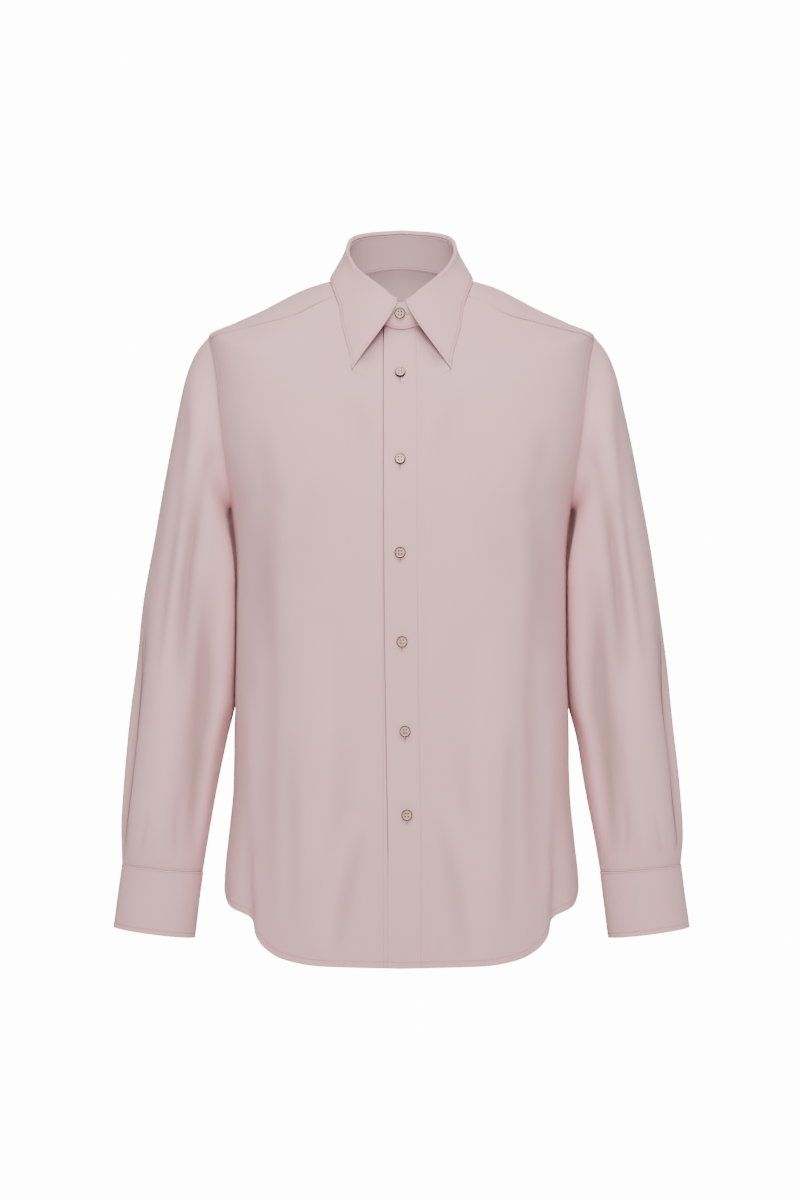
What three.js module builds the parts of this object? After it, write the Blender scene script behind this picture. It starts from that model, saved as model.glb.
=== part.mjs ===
// A man's long sleeve dress shirt in its filled-out worn form, hollow, with the front buttoned.
// Millimetres, +Z up, front towards -Y, the wearer's left towards +X.
// The origin is the middle of the neck base, at the height of the neck points of the shoulders.
import * as THREE from "three";

// Wall thicknesses and gaps.
const CLOTH = 1.2;
const INTERLINED = 1.6;
const SEAM = 0.3;
const LAYER = 0.4;
const RAD = Math.PI / 180;

// Front closing: the band of the wearer's left front lies over the right front.
const BAND_WIDTH = 35;
const BAND_LIFT = CLOTH + LAYER;
const UNDER_REACH = 15;
const BAND_EASE = 9;

// Body rings, each named by its height at the side seam or on the shoulder ridge.
const BODY_RINGS = [
  { side: -760, front: -760, back: -760, half: 191, ahead: 123, behind: 117, square: 0.4, mid: -10 },
  { side: -690, front: -690, back: -690, half: 191, ahead: 121, behind: 116, square: 0.4, mid: -10 },
  { side: -645, front: -645, back: -645, half: 190, ahead: 119, behind: 114, square: 0.4, mid: -10 },
  { side: -600, front: -600, back: -600, half: 185.5, ahead: 118, behind: 111, square: 0.4, mid: -10 },
  { side: -540, front: -540, back: -540, half: 179.8, ahead: 117, behind: 107, square: 0.4, mid: -10 },
  { side: -470, front: -470, back: -470, half: 178.8, ahead: 117, behind: 104, square: 0.4, mid: -10 },
  { side: -400, front: -400, back: -400, half: 176.5, ahead: 120, behind: 105, square: 0.4, mid: -11 },
  { side: -310, front: -310, back: -310, half: 176, ahead: 125, behind: 114, square: 0.4, mid: -11 },
  { side: -245, front: -245, back: -245, half: 181, ahead: 128, behind: 121, square: 0.4, mid: -8 },
  { side: -205, front: -211, back: -203, half: 191, ahead: 127, behind: 125, square: 0.4, mid: -5 },
  { side: -150, front: -173, back: -146, half: 202, ahead: 122, behind: 126, square: 0.38, mid: -2 },
  { side: -100, front: -137, back: -94, half: 206, ahead: 114, behind: 118, square: 0.34, mid: 0 },
  { side: -56, front: -107, back: -46, half: 207.5, ahead: 102, behind: 101, square: 0.28, mid: 0 },
  { side: -42, front: -96, back: -31, half: 179, ahead: 96, behind: 93, square: 0.24, mid: 0 },
  { side: -29, front: -86, back: -18, half: 150.5, ahead: 90, behind: 86, square: 0.2, mid: 0 },
  { side: -16, front: -75, back: -6, half: 125, ahead: 83, behind: 78, square: 0.14, mid: 0 },
  { side: -3, front: -64.5, back: 7, half: 97.5, ahead: 75, behind: 68, square: 0.08, mid: 0 },
  { side: 4, front: -58.8, back: 16.2, half: 75.5, ahead: 70, behind: 59, square: 0.03, mid: 0 },
  { side: 8, front: -55.5, back: 21, half: 60, ahead: 66, behind: 54, square: 0, mid: 0 },
];

// Shirt-tail hem: the height of the edge for each angle from centre front.
const HEM_EDGE = [
  { turn: 0, height: -725.5 },
  { turn: 26, height: -723.5 },
  { turn: 40, height: -717.5 },
  { turn: 49, height: -708 },
  { turn: 54, height: -697 },
  { turn: 58, height: -686 },
  { turn: 64, height: -675 },
  { turn: 76, height: -663 },
  { turn: 85, height: -651 },
  { turn: 90, height: -647 },
  { turn: 97, height: -652 },
  { turn: 112, height: -671 },
  { turn: 130, height: -702 },
  { turn: 150, height: -729 },
  { turn: 180, height: -740 },
];

// Large folds of the body: deep is how far the cloth moves out, below zero for a trough.
const BODY_FOLDS = [
  { turn: 62, wide: 6, deep: -12, full: -700, gone: -500 },
  { turn: -62, wide: 6, deep: -12, full: -700, gone: -505 },
  { turn: 49, wide: 6, deep: -2.5, full: -620, gone: -270 },
  { turn: -49, wide: 6.5, deep: -2.5, full: -640, gone: -260 },
  { turn: 30, wide: 7, deep: 1.6, full: -740, gone: -480 },
  { turn: -25, wide: 7, deep: 1.6, full: -740, gone: -520 },
  { turn: 118, wide: 8, deep: -7, full: -700, gone: -330 },
  { turn: -122, wide: 8, deep: -6, full: -700, gone: -360 },
  { turn: 143, wide: 9, deep: 3.5, full: -720, gone: -260 },
  { turn: -148, wide: 9, deep: 3.5, full: -720, gone: -300 },
  { turn: 168, wide: 8, deep: -3.5, full: -700, gone: -240 },
  { turn: -172, wide: 7, deep: -3, full: -690, gone: -280 },
];

// Armhole: an oval on the body between the shoulder tip and the underarm.
const ARMHOLE_TOP = -56;
const ARMHOLE_LOW = -245;
const ARMHOLE_MIDDLE = (ARMHOLE_TOP + ARMHOLE_LOW) / 2;
const ARMHOLE_REACH = (ARMHOLE_TOP - ARMHOLE_LOW) / 2;
const ARMHOLE_FRONT_TURN = 18;
const ARMHOLE_BACK_TURN = 17;

// Edge line of the front band and the under front, and the seam where yoke meets front.
const BAND_EDGE = [
  { side: -740, x: -11.3 },
  { side: -300, x: -18 },
  { side: -100, x: -18.6 },
  { side: 8, x: -18.8 },
];
const YOKE_SEAM = [
  { side: -62, turn: 80.8 },
  { side: -52, turn: 72 },
  { side: -37, turn: 65 },
  { side: -16, turn: 57.5 },
  { side: 0, turn: 57.5 },
  { side: 8, turn: 60 },
];
const YOKE_CORNER_SIDE = -62;
const YOKE_BACK_SIDE = -100;
const NECK_SIDE = 8;
const YOKE_LEVELS = [YOKE_CORNER_SIDE, ARMHOLE_TOP, -46, -34, -20, -6, NECK_SIDE];
const HEM_ZONE_TOP = -600;

// Sleeve rings for the wearer's left arm, from the underarm down to the cuff seam.
const SLEEVE_RINGS = [
  { along: 0, outHigh: -120, out: 236.6, inHigh: -262, inner: 187.5, mid: 4, deep: 61, square: 0.1 },
  { along: 0.1, outHigh: -175, out: 248, inHigh: -290, inner: 183.8, mid: 5, deep: 66, square: 0.2 },
  { along: 0.25, outHigh: -250, out: 261.8, inHigh: -336, inner: 180.6, mid: 4, deep: 67, square: 0.25 },
  { along: 0.43, outHigh: -353, out: 278.6, inHigh: -400, inner: 180.6, mid: 0, deep: 64, square: 0.2 },
  { along: 0.58, outHigh: -430, out: 287, inHigh: -450, inner: 182.4, mid: -5, deep: 60, square: 0.15 },
  { along: 0.68, outHigh: -483, out: 292.6, inHigh: -489, inner: 190, mid: -10, deep: 56, square: 0.1 },
  { along: 0.78, outHigh: -535, out: 297.6, inHigh: -537, inner: 198, mid: -16, deep: 51, square: 0.1 },
  { along: 0.9, outHigh: -588, out: 300.6, inHigh: -592, inner: 207.5, mid: -23, deep: 43, square: 0.1 },
  { along: 1, outHigh: -622.6, out: 298.8, inHigh: -630.6, inner: 213.8, mid: -27, deep: 34.5, square: 0 },
];
const SLEEVE_FOLDS = [
  { turn: 24, wide: 12, deep: -7.5, from: 0.38, to: 0.97 },
  { turn: 62, wide: 14, deep: 2.5, from: 0.25, to: 0.95 },
  { turn: 82, wide: 13, deep: -4, from: 0, to: 0.62 },
  { turn: 112, wide: 15, deep: -5, from: 0.35, to: 0.98 },
  { turn: 154, wide: 16, deep: 3.5, from: -0.1, to: 0.66 },
  { turn: 140, wide: 16, deep: -3.5, from: 0.62, to: 0.98 },
  { turn: -40, wide: 16, deep: -5, from: 0.3, to: 0.96 },
  { turn: -110, wide: 15, deep: -4, from: 0.35, to: 0.95 },
  { turn: -134, wide: 27, deep: 19, from: -0.3, to: 0.9 },
];
const CAP_SHARE = 0.2;

// Cuff rings for the wearer's left arm.
const CUFF_RINGS = [
  { along: 0, outHigh: -623.2, out: 298.4, inHigh: -631.2, inner: 214, mid: -27, deep: 34.5, square: 0 },
  { along: 1, outHigh: -690.5, out: 307.2, inHigh: -701.5, inner: 222.6, mid: -32, deep: 33.5, square: 0 },
];
const CUFF_OPENING = -82;
const CUFF_OVERLAP = 34;
const CUFF_LIFT = INTERLINED + LAYER;

// Sleeve placket strip above the cuff opening.
const PLACKET_TURN = { low: -98, high: -66 };
const PLACKET_ALONG = { low: 0.74, high: 0.985 };
const PLACKET_THICK = 1.0;

// Collar stand: its top line, and its overlap at the front.
const STAND = { half: 57.5, ahead: 69, behind: 47 };
const STAND_TOP = [
  { turn: 0, high: -24.6 },
  { turn: 7, high: -23.4 },
  { turn: 22.4, high: -12.5 },
  { turn: 40, high: 0 },
  { turn: 56, high: 10.5 },
  { turn: 70, high: 21.5 },
  { turn: 82, high: 29 },
  { turn: 98, high: 40 },
  { turn: 110, high: 47 },
  { turn: 125, high: 52 },
  { turn: 150, high: 56.5 },
  { turn: 180, high: 59 },
];
const STAND_ENDS = { over: -18.5, under: 374 };
const STAND_LIFT = INTERLINED + 2 * LAYER;
const STAND_BOW = 1.0;

// Collar leaf: its roll over the stand and its outer edge on the body.
const LEAF_ENDS = { left: 4.6, right: 355.4 };
const LEAF_RISE = { end: 0.4, round: 2, over: 16 };
const LEAF_ROLL = 1.6;
const LEAF_REST = CLOTH + 0.7;
const LEAF_EDGE = [
  { stand: 4.6, turn: 15.3, side: -49 },
  { stand: 20, turn: 20, side: -32 },
  { stand: 38, turn: 31, side: -12.5 },
  { stand: 55, turn: 47, side: 0 },
  { stand: 72, turn: 68, side: 3 },
  { stand: 90, turn: 90, side: 4 },
  { stand: 135, turn: 135, side: 3 },
  { stand: 180, turn: 180, side: 2 },
];

// Buttons.
const BUTTON = { radius: 5.8, thick: 2.6, rim: 1.3, dish: 0.7 };
const BUTTON_CLEAR = 0.6;
const FRONT_BUTTONS = [
  { x: -1.5, z: -102.5 },
  { x: -1.5, z: -193.5 },
  { x: -1.5, z: -290.5 },
  { x: 0.5, z: -383.5 },
  { x: 3.6, z: -477.5 },
  { x: 5.6, z: -565 },
];
const COLLAR_BUTTON = { x: -1.5, share: 0.6 };

// Smooth reading of one column of a table: cubic, with slopes held so that it never overshoots.
function read(table, key, at, column) {
  const last = table.length - 1;
  let i = 0;
  while (i < last - 1 && at > table[i + 1][key]) {
    i += 1;
  }
  const slope = (k) => (table[k + 1][column] - table[k][column]) / (table[k + 1][key] - table[k][key]);
  const tangent = (k) => {
    if (k === 0) {
      return slope(0);
    }
    if (k === last) {
      return slope(last - 1);
    }
    const a = slope(k - 1);
    const b = slope(k);
    return a * b <= 0 ? 0 : (2 * a * b) / (a + b);
  };
  const step = table[i + 1][key] - table[i][key];
  const t = Math.min(1, Math.max(0, (at - table[i][key]) / step));
  const t2 = t * t;
  const t3 = t2 * t;
  return (
    (2 * t3 - 3 * t2 + 1) * table[i][column] +
    (t3 - 2 * t2 + t) * step * tangent(i) +
    (3 * t2 - 2 * t3) * table[i + 1][column] +
    (t3 - t2) * step * tangent(i + 1)
  );
}

const mix = (a, b, t) => a + (b - a) * t;
const ease = (t) => {
  const k = Math.min(1, Math.max(0, t));
  return k * k * (3 - 2 * k);
};
const spread = (from, to, cells) => Array.from({ length: cells + 1 }, (_, i) => mix(from, to, i / cells));
const signed = (turn) => turn - 360 * Math.round(turn / 360);
const opened = (turn) => Math.abs(signed(turn));

// Point of the body at an angle from centre front and a ring height.
function bodyPoint(turn, side) {
  const ring = (column) => read(BODY_RINGS, "side", side, column);
  const s = Math.sin(turn * RAD);
  const c = Math.cos(turn * RAD);
  const depth = c > 0 ? ring("ahead") : ring("behind");
  const end = c > 0 ? ring("front") : ring("back");
  let fold = 0;
  for (const row of BODY_FOLDS) {
    const off = signed(turn - row.turn) / row.wide;
    fold += row.deep * Math.exp(-off * off) * ease((row.gone - side) / (row.gone - row.full));
  }
  return new THREE.Vector3(
    ring("half") * s + fold * s,
    ring("mid") - depth * c * (1 + ring("square") * s * s) - fold * c,
    side + (end - side) * c * c,
  );
}

// Outward direction of a surface given by two numbers.
function facing(surface, u, v, du, dv) {
  const along = surface(u + du, v).sub(surface(u - du, v));
  const across = surface(u, v + dv).sub(surface(u, v - dv));
  return along.cross(across).normalize();
}
const bodyFacing = (turn, side) => facing(bodyPoint, turn, side, 0.05, 0.05);

// Closed wall of cloth over a grid of places, between two distances from its surface.
function wall(columns, rows, place, near, far, loop = false) {
  const lines = loop ? columns.length - 1 : columns.length;
  const deep = rows.length;
  const points = [];
  for (const offset of [near, far]) {
    for (let i = 0; i < lines; i += 1) {
      for (let j = 0; j < deep; j += 1) {
        const { point, out } = place(columns[i], rows[j]);
        points.push(...point.addScaledVector(out, offset).toArray());
      }
    }
  }
  const id = (layer, i, j) => (layer * lines + (i % lines)) * deep + j;
  const faces = [];
  const quad = (a, b, c, d) => faces.push(a, b, c, a, c, d);
  for (let i = 0; i < columns.length - 1; i += 1) {
    for (let j = 0; j < deep - 1; j += 1) {
      quad(id(1, i, j), id(1, i + 1, j), id(1, i + 1, j + 1), id(1, i, j + 1));
      quad(id(0, i, j + 1), id(0, i + 1, j + 1), id(0, i + 1, j), id(0, i, j));
    }
    quad(id(0, i, 0), id(0, i + 1, 0), id(1, i + 1, 0), id(1, i, 0));
    quad(id(1, i, deep - 1), id(1, i + 1, deep - 1), id(0, i + 1, deep - 1), id(0, i, deep - 1));
  }
  if (!loop) {
    const end = columns.length - 1;
    for (let j = 0; j < deep - 1; j += 1) {
      quad(id(0, 0, j), id(1, 0, j), id(1, 0, j + 1), id(0, 0, j + 1));
      quad(id(0, end, j + 1), id(1, end, j + 1), id(1, end, j), id(0, end, j));
    }
  }
  const geometry = new THREE.BufferGeometry();
  geometry.setAttribute("position", new THREE.Float32BufferAttribute(points, 3));
  geometry.setIndex(faces);
  geometry.computeVertexNormals();
  return geometry;
}

// Materials.
function clothMaterial() {
  return new THREE.MeshStandardMaterial({ name: "shirt_cloth", color: 0xd6c3c3, roughness: 0.8, metalness: 0 });
}
function buttonMaterial() {
  return new THREE.MeshStandardMaterial({ name: "button", color: 0xc9b3a4, roughness: 0.35, metalness: 0 });
}
function piece(name, geometry, material) {
  const mesh = new THREE.Mesh(geometry, material);
  mesh.name = name;
  return mesh;
}

// Armhole oval: angle 0 at the shoulder tip, 180 at the underarm, above zero on the front.
function armholeTurn(angle) {
  const c = Math.abs(Math.cos(angle * RAD));
  const upper = Math.cos(angle * RAD) > 0;
  const bow = upper ? (1 - c ** 2.6) ** 0.42 : Math.abs(Math.sin(angle * RAD));
  const front = signed(angle) >= 0;
  return front ? 90 - ARMHOLE_FRONT_TURN * bow : 90 + ARMHOLE_BACK_TURN * bow;
}
const armholeSide = (angle) => ARMHOLE_MIDDLE + ARMHOLE_REACH * Math.cos(angle * RAD);
const armholeAngle = (side) => Math.acos((side - ARMHOLE_MIDDLE) / ARMHOLE_REACH) / RAD;
const CORNER_FRONT = armholeAngle(YOKE_CORNER_SIDE);
const CORNER_BACK = armholeAngle(YOKE_BACK_SIDE);
const FRONT_STOPS = spread(180, CORNER_FRONT, 11);
const YOKE_STOPS = spread(CORNER_FRONT, -CORNER_BACK, 6);
const BACK_STOPS = spread(-180, -CORNER_BACK, 9);

const gapTurn = (width, side) => width / read(BODY_RINGS, "side", side, "half") / RAD;
const turnAt = (x, side) => Math.asin(x / read(BODY_RINGS, "side", side, "half")) / RAD;
const hemHeight = (turn) => read(HEM_EDGE, "turn", opened(turn), "height");

// Outer border of the front: side seam, then armhole, then yoke seam.
function frontBorder(side) {
  if (side < ARMHOLE_LOW + 0.01) {
    return 90 - gapTurn(SEAM / 2, side);
  }
  if (side < YOKE_CORNER_SIDE) {
    return armholeTurn(armholeAngle(side));
  }
  return read(YOKE_SEAM, "side", side, "turn") - gapTurn(0.25, side);
}

// Ring heights of the rows of a panel, above the hem zone.
const LOWER_LEVELS = [HEM_ZONE_TOP, -545, -490, -435, -385, -340, -305, -272, ARMHOLE_LOW];
const HEM_SHARES = [0, 0.3, 0.65];
const panelSide = (turn, row) => (row.share === undefined ? row.side : mix(hemHeight(turn), HEM_ZONE_TOP, row.share));
const hemRows = HEM_SHARES.map((share) => ({ share, side: HEM_ZONE_TOP }));
const sideRows = LOWER_LEVELS.map((side) => ({ side }));

function frontRows() {
  const armhole = FRONT_STOPS.slice(1).map((angle) => ({ side: armholeSide(angle) }));
  const yoke = YOKE_LEVELS.slice(1).map((side) => ({ side }));
  return [...hemRows, ...sideRows, ...armhole, ...yoke];
}

// Front panel: the over front carries the band and is lifted where it covers the under front.
function frontPlace(over) {
  const way = over ? 1 : -1;
  return (u, row) => {
    const edge = over ? read(BAND_EDGE, "side", row.side, "x") : UNDER_REACH;
    const start = turnAt(way * edge, row.side);
    const inside = turnAt(way * edge + BAND_WIDTH, row.side);
    const turn = u < 0 ? mix(inside, start, -u) : mix(inside, frontBorder(row.side), u);
    const side = panelSide(turn, row);
    const point = bodyPoint(way * turn, side);
    const out = bodyFacing(way * turn, side);
    if (over) {
      const lift = BAND_LIFT * (1 - ease((point.x - edge - BAND_WIDTH) / BAND_EASE));
      point.addScaledVector(out, lift);
    }
    return { point, out };
  };
}
function front(name, over, material) {
  const columns = [-1, -0.75, -0.5, -0.25, 0, 0.07, 0.15, 0.24, 0.33, 0.42, 0.51, 0.6, 0.69, 0.77, 0.85, 0.93, 1];
  if (!over) {
    columns.reverse();
  }
  return piece(name, wall(columns, frontRows(), frontPlace(over), 0, CLOTH), material);
}

// Back panel, from side seam to side seam and up to the back yoke seam.
function backPlace(u, row) {
  const gap = gapTurn(SEAM / 2, row.side);
  const border = row.side < ARMHOLE_LOW + 0.01 ? 90 + gap : armholeTurn(-armholeAngle(row.side));
  const turn = mix(border, 360 - border, u);
  const side = panelSide(turn, row);
  return { point: bodyPoint(turn, side), out: bodyFacing(turn, side) };
}
function back(material) {
  const armhole = BACK_STOPS.slice(1).map((angle) => ({ side: armholeSide(angle) }));
  armhole[armhole.length - 1].side -= 0.2;
  return piece("back", wall(spread(0, 1, 32), [...hemRows, ...sideRows, ...armhole], backPlace, 0, CLOTH), material);
}

// Yoke: from the front seam over the shoulder, round the back of the neck, to the other front seam.
function yokePlace(u, v) {
  const half = Math.min(u, 2 - u);
  const shoulder = Math.min(1, half / 0.5);
  const behind = Math.max(0, (half - 0.5) / 0.5);
  const angle = mix(CORNER_FRONT, -CORNER_BACK, shoulder);
  const corner = armholeTurn(-CORNER_BACK);
  const outer = behind > 0 ? mix(corner, 180, behind) : armholeTurn(angle);
  const neck = behind > 0 ? mix(122, 180, behind) : mix(60, 122, shoulder);
  const low = armholeSide(angle) + 0.2 * (behind > 0 || shoulder === 1 ? 1 : 0);
  const side = v < 1 ? mix(low, ARMHOLE_TOP, v) : YOKE_LEVELS[v];
  const run = (side - low) / (NECK_SIDE - low);
  const seam = read(YOKE_SEAM, "side", shoulder > 0 ? mix(YOKE_CORNER_SIDE, NECK_SIDE, run) : side, "turn");
  const bend = (seam - mix(YOKE_SEAM[0].turn, 60, run)) * (1 - shoulder) ** 2;
  const gap = (1 - shoulder) ** 2 * gapTurn(0.25, side);
  const turn = mix(outer, neck, run) + bend + gap;
  const round = u > 1 ? 360 - turn : turn;
  return { point: bodyPoint(round, side), out: bodyFacing(round, side) };
}
function yoke(material) {
  const left = [...spread(0, 0.5, 6), ...spread(0.5, 1, 6).slice(1)];
  const right = left.slice(0, -1).reverse().map((u) => 2 - u);
  const rows = YOKE_LEVELS.map((side, i) => i);
  return piece("yoke", wall([...left, ...right], rows, yokePlace, 0, CLOTH), material);
}

// One oval ring of a sleeve or cuff table: angle 0 outside, 90 in front, 180 against the body.
function ovalPoint(table, angle, along) {
  const ring = (column) => read(table, "along", along, column);
  const c = Math.cos(angle * RAD);
  const s = Math.sin(angle * RAD);
  return new THREE.Vector3(
    mix(ring("inner"), ring("out"), (1 + c) / 2),
    ring("mid") - ring("deep") * s * (1 + ring("square") * c * c),
    mix(ring("inHigh"), ring("outHigh"), (1 + c) / 2),
  );
}
function sleeveFold(angle, along) {
  let fold = 0;
  for (const row of SLEEVE_FOLDS) {
    const off = signed(angle - row.turn) / row.wide;
    const t = (along - row.from) / (row.to - row.from);
    fold += t > 0 && t < 1 ? row.deep * Math.exp(-off * off) * Math.sin(Math.PI * t) ** 1.3 : 0;
  }
  return fold;
}
function hangingPoint(angle, along) {
  const fold = sleeveFold(angle, along);
  const shift = new THREE.Vector3(Math.cos(angle * RAD), -Math.sin(angle * RAD), 0);
  return ovalPoint(SLEEVE_RINGS, angle, along).addScaledVector(shift, fold);
}

// Sleeve head: leaves the armhole in line with the body, then bends over into the hanging tube.
function headPoint(angle, share) {
  const rim = (a) => bodyPoint(armholeTurn(a), armholeSide(a));
  const start = rim(angle);
  const tangent = rim(angle + 0.2).sub(rim(angle - 0.2)).normalize();
  const out = bodyFacing(armholeTurn(angle), armholeSide(angle));
  const leave = out.clone().cross(tangent).normalize();
  const top = (1 + Math.cos(angle * RAD)) / 2;
  const end = hangingPoint(angle, 0);
  const hang = hangingPoint(angle, 0.012).sub(end).normalize();
  const reach = mix(8, 15, top);
  const lean = mix(2, 14, top ** 4);
  const a = start.clone().addScaledVector(leave, SEAM + 0.1 + (CLOTH * lean) / Math.hypot(lean, reach));
  const b = start.clone().addScaledVector(leave, reach).addScaledVector(out, lean);
  const c = end.clone().addScaledVector(hang, -mix(20, 36, top));
  const k = 1 - share;
  return a
    .multiplyScalar(k ** 3)
    .addScaledVector(b, 3 * k * k * share)
    .addScaledVector(c, 3 * k * share * share)
    .addScaledVector(end, share ** 3);
}
function sleevePoint(angle, run) {
  return run < CAP_SHARE ? headPoint(angle, Math.max(0, run) / CAP_SHARE) : hangingPoint(angle, (run - CAP_SHARE) / (1 - CAP_SHARE));
}
function sleevePlace(angle, run) {
  const low = run < 0.0005 ? 0.0006 : run;
  const high = Math.min(low, 0.9994);
  const out = facing(sleevePoint, angle, high, 0.2, 0.0005);
  return { point: sleevePoint(angle, run), out };
}

// Moves a left-arm wall to the wanted arm; the right arm is its mirror image.
function armSide(geometry, left) {
  if (left) {
    return geometry;
  }
  geometry.scale(-1, 1, 1);
  const index = geometry.getIndex();
  for (let i = 0; i < index.count; i += 3) {
    const kept = index.getX(i + 1);
    index.setX(i + 1, index.getX(i + 2));
    index.setX(i + 2, kept);
  }
  geometry.computeVertexNormals();
  return geometry;
}
function sleeve(name, left, material) {
  const angles = [...BACK_STOPS, ...[...YOKE_STOPS].reverse().slice(1), ...[...FRONT_STOPS].reverse().slice(1)];
  const head = [0, 0.12, 0.28, 0.46, 0.64, 0.82].map((share) => share * CAP_SHARE);
  const tube = [0, 0.07, 0.15, 0.24, 0.34, 0.44, 0.53, 0.61, 0.69, 0.77, 0.85, 0.92, 0.97, 1];
  const rows = [...head, ...tube.map((t) => mix(CAP_SHARE, 1, t))];
  return piece(name, armSide(wall(angles, rows, sleevePlace, 0, CLOTH, true), left), material);
}

// Cuff: one band that laps over itself at the back of the wrist.
function cuffPlace(turn, v) {
  const angle = CUFF_OPENING + turn;
  const surface = (a, b) => ovalPoint(CUFF_RINGS, a, b);
  const out = facing(surface, angle, v, 0.2, 0.001);
  const lift = CUFF_LIFT * ease((turn - 300) / 45);
  return { point: surface(angle, v).addScaledVector(out, lift), out };
}
function cuff(name, left, material) {
  const turns = spread(0, 360 + CUFF_OVERLAP, 34);
  return piece(name, armSide(wall(turns, [0, 0.33, 0.66, 1], cuffPlace, 0, INTERLINED), left), material);
}

// Placket strip on the back of the sleeve, above the cuff opening.
function placketPlace(angle, along) {
  const run = mix(CAP_SHARE, 1, along);
  const { point, out } = sleevePlace(angle, run);
  return { point, out };
}
function sleevePlacket(name, left, material) {
  const angles = spread(PLACKET_TURN.low, PLACKET_TURN.high, 4);
  const rows = spread(PLACKET_ALONG.low, PLACKET_ALONG.high, 8);
  const near = CLOTH + LAYER;
  return piece(name, armSide(wall(angles, rows, placketPlace, near, near + PLACKET_THICK), left), material);
}

// Collar stand: stands on the neck edge; its over end laps over the under end at the front.
const standLift = (turn) => STAND_LIFT * (1 - ease((turn - 20) / 30));
function standTop(turn) {
  const s = Math.sin(turn * RAD);
  const c = Math.cos(turn * RAD);
  const depth = c > 0 ? STAND.ahead : STAND.behind;
  return new THREE.Vector3(STAND.half * s, -depth * c, read(STAND_TOP, "turn", opened(turn), "high"));
}
const outwards = (turn) => new THREE.Vector3(Math.sin(turn * RAD), -Math.cos(turn * RAD), 0);
function standPoint(turn, v) {
  const lift = standLift(turn);
  const foot = bodyPoint(turn, NECK_SIDE).addScaledVector(outwards(turn), -0.4);
  foot.z += 0.2 + lift;
  const bow = STAND_BOW * 4 * v * (1 - v) + lift;
  return foot.lerp(standTop(turn), v).addScaledVector(outwards(turn), bow);
}
function standPlace(turn, v) {
  return { point: standPoint(turn, v), out: facing(standPoint, turn, v, 0.1, 0.002) };
}
function collarStand(material) {
  const turns = spread(STAND_ENDS.over, STAND_ENDS.under, 44);
  return piece("collar_stand", wall(turns, [0, 0.33, 0.66, 1], standPlace, -INTERLINED, 0), material);
}

// Collar leaf: rises from the stand, rolls over it and falls to its outer edge on the body.
function leafEdge(turn) {
  const front = opened(turn);
  const reach = read(LEAF_EDGE, "stand", front, "turn");
  const side = read(LEAF_EDGE, "stand", front, "side");
  const round = turn > 180 ? 360 - reach : reach;
  return bodyPoint(round, side).addScaledVector(bodyFacing(round, side), LEAF_REST);
}
function leafPoint(turn, v) {
  const out = outwards(turn);
  const foot = standTop(turn).addScaledVector(out, standLift(turn));
  foot.z += 2 * LAYER;
  const roll = (LEAF_ROLL + STAND_LIFT * ease((turn - 312) / 26)) / 2;
  const rise = mix(LEAF_RISE.end, LEAF_RISE.round, ease((opened(turn) - LEAF_ENDS.left) / LEAF_RISE.over));
  if (v < 0.1) {
    foot.z += (rise * v) / 0.1;
    return foot;
  }
  foot.z += rise;
  if (v < 0.3) {
    const a = (Math.PI * (v - 0.1)) / 0.2;
    foot.addScaledVector(out, roll * (1 - Math.cos(a)));
    foot.z += roll * Math.sin(a);
    return foot;
  }
  const t = (v - 0.3) / 0.7;
  const k = 1 - t;
  const start = foot.addScaledVector(out, 2 * roll);
  const edge = leafEdge(turn);
  const first = start.clone().addScaledVector(out, 1.5);
  first.z -= 12;
  const second = edge.clone().lerp(start, 0.34).addScaledVector(out, 2.5);
  return start
    .multiplyScalar(k ** 3)
    .addScaledVector(first, 3 * k * k * t)
    .addScaledVector(second, 3 * k * t * t)
    .addScaledVector(edge, t ** 3);
}
function leafPlace(turn, v) {
  const near = Math.min(0.998, Math.max(0.002, v));
  return { point: leafPoint(turn, v), out: facing(leafPoint, turn, near, 0.1, 0.002) };
}
function collarLeaf(material) {
  const turns = spread(LEAF_ENDS.left, LEAF_ENDS.right, 48);
  const rows = [0, 0.1, 0.15, 0.2, 0.25, 0.3, 0.42, 0.56, 0.7, 0.85, 1];
  return piece("collar_leaf", wall(turns, rows, leafPlace, -INTERLINED, 0), material);
}

// Button: a turned disc with a raised rim, set on a surface point and facing out.
function button(name, point, out, material) {
  const { radius, thick, rim, dish } = BUTTON;
  const profile = [
    [0, 0],
    [radius - 1, 0],
    [radius, 1],
    [radius - 0.3, thick - 0.4],
    [radius - 0.9, thick],
    [radius - 0.9 - rim, thick - dish],
    [0, thick - dish],
  ].map(([r, h]) => new THREE.Vector2(r, h));
  const disc = new THREE.LatheGeometry(profile, 16).rotateX(Math.PI / 2);
  const mesh = piece(name, disc, material);
  mesh.quaternion.setFromUnitVectors(new THREE.Vector3(0, 0, 1), out);
  mesh.position.copy(point);
  return mesh;
}

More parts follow.
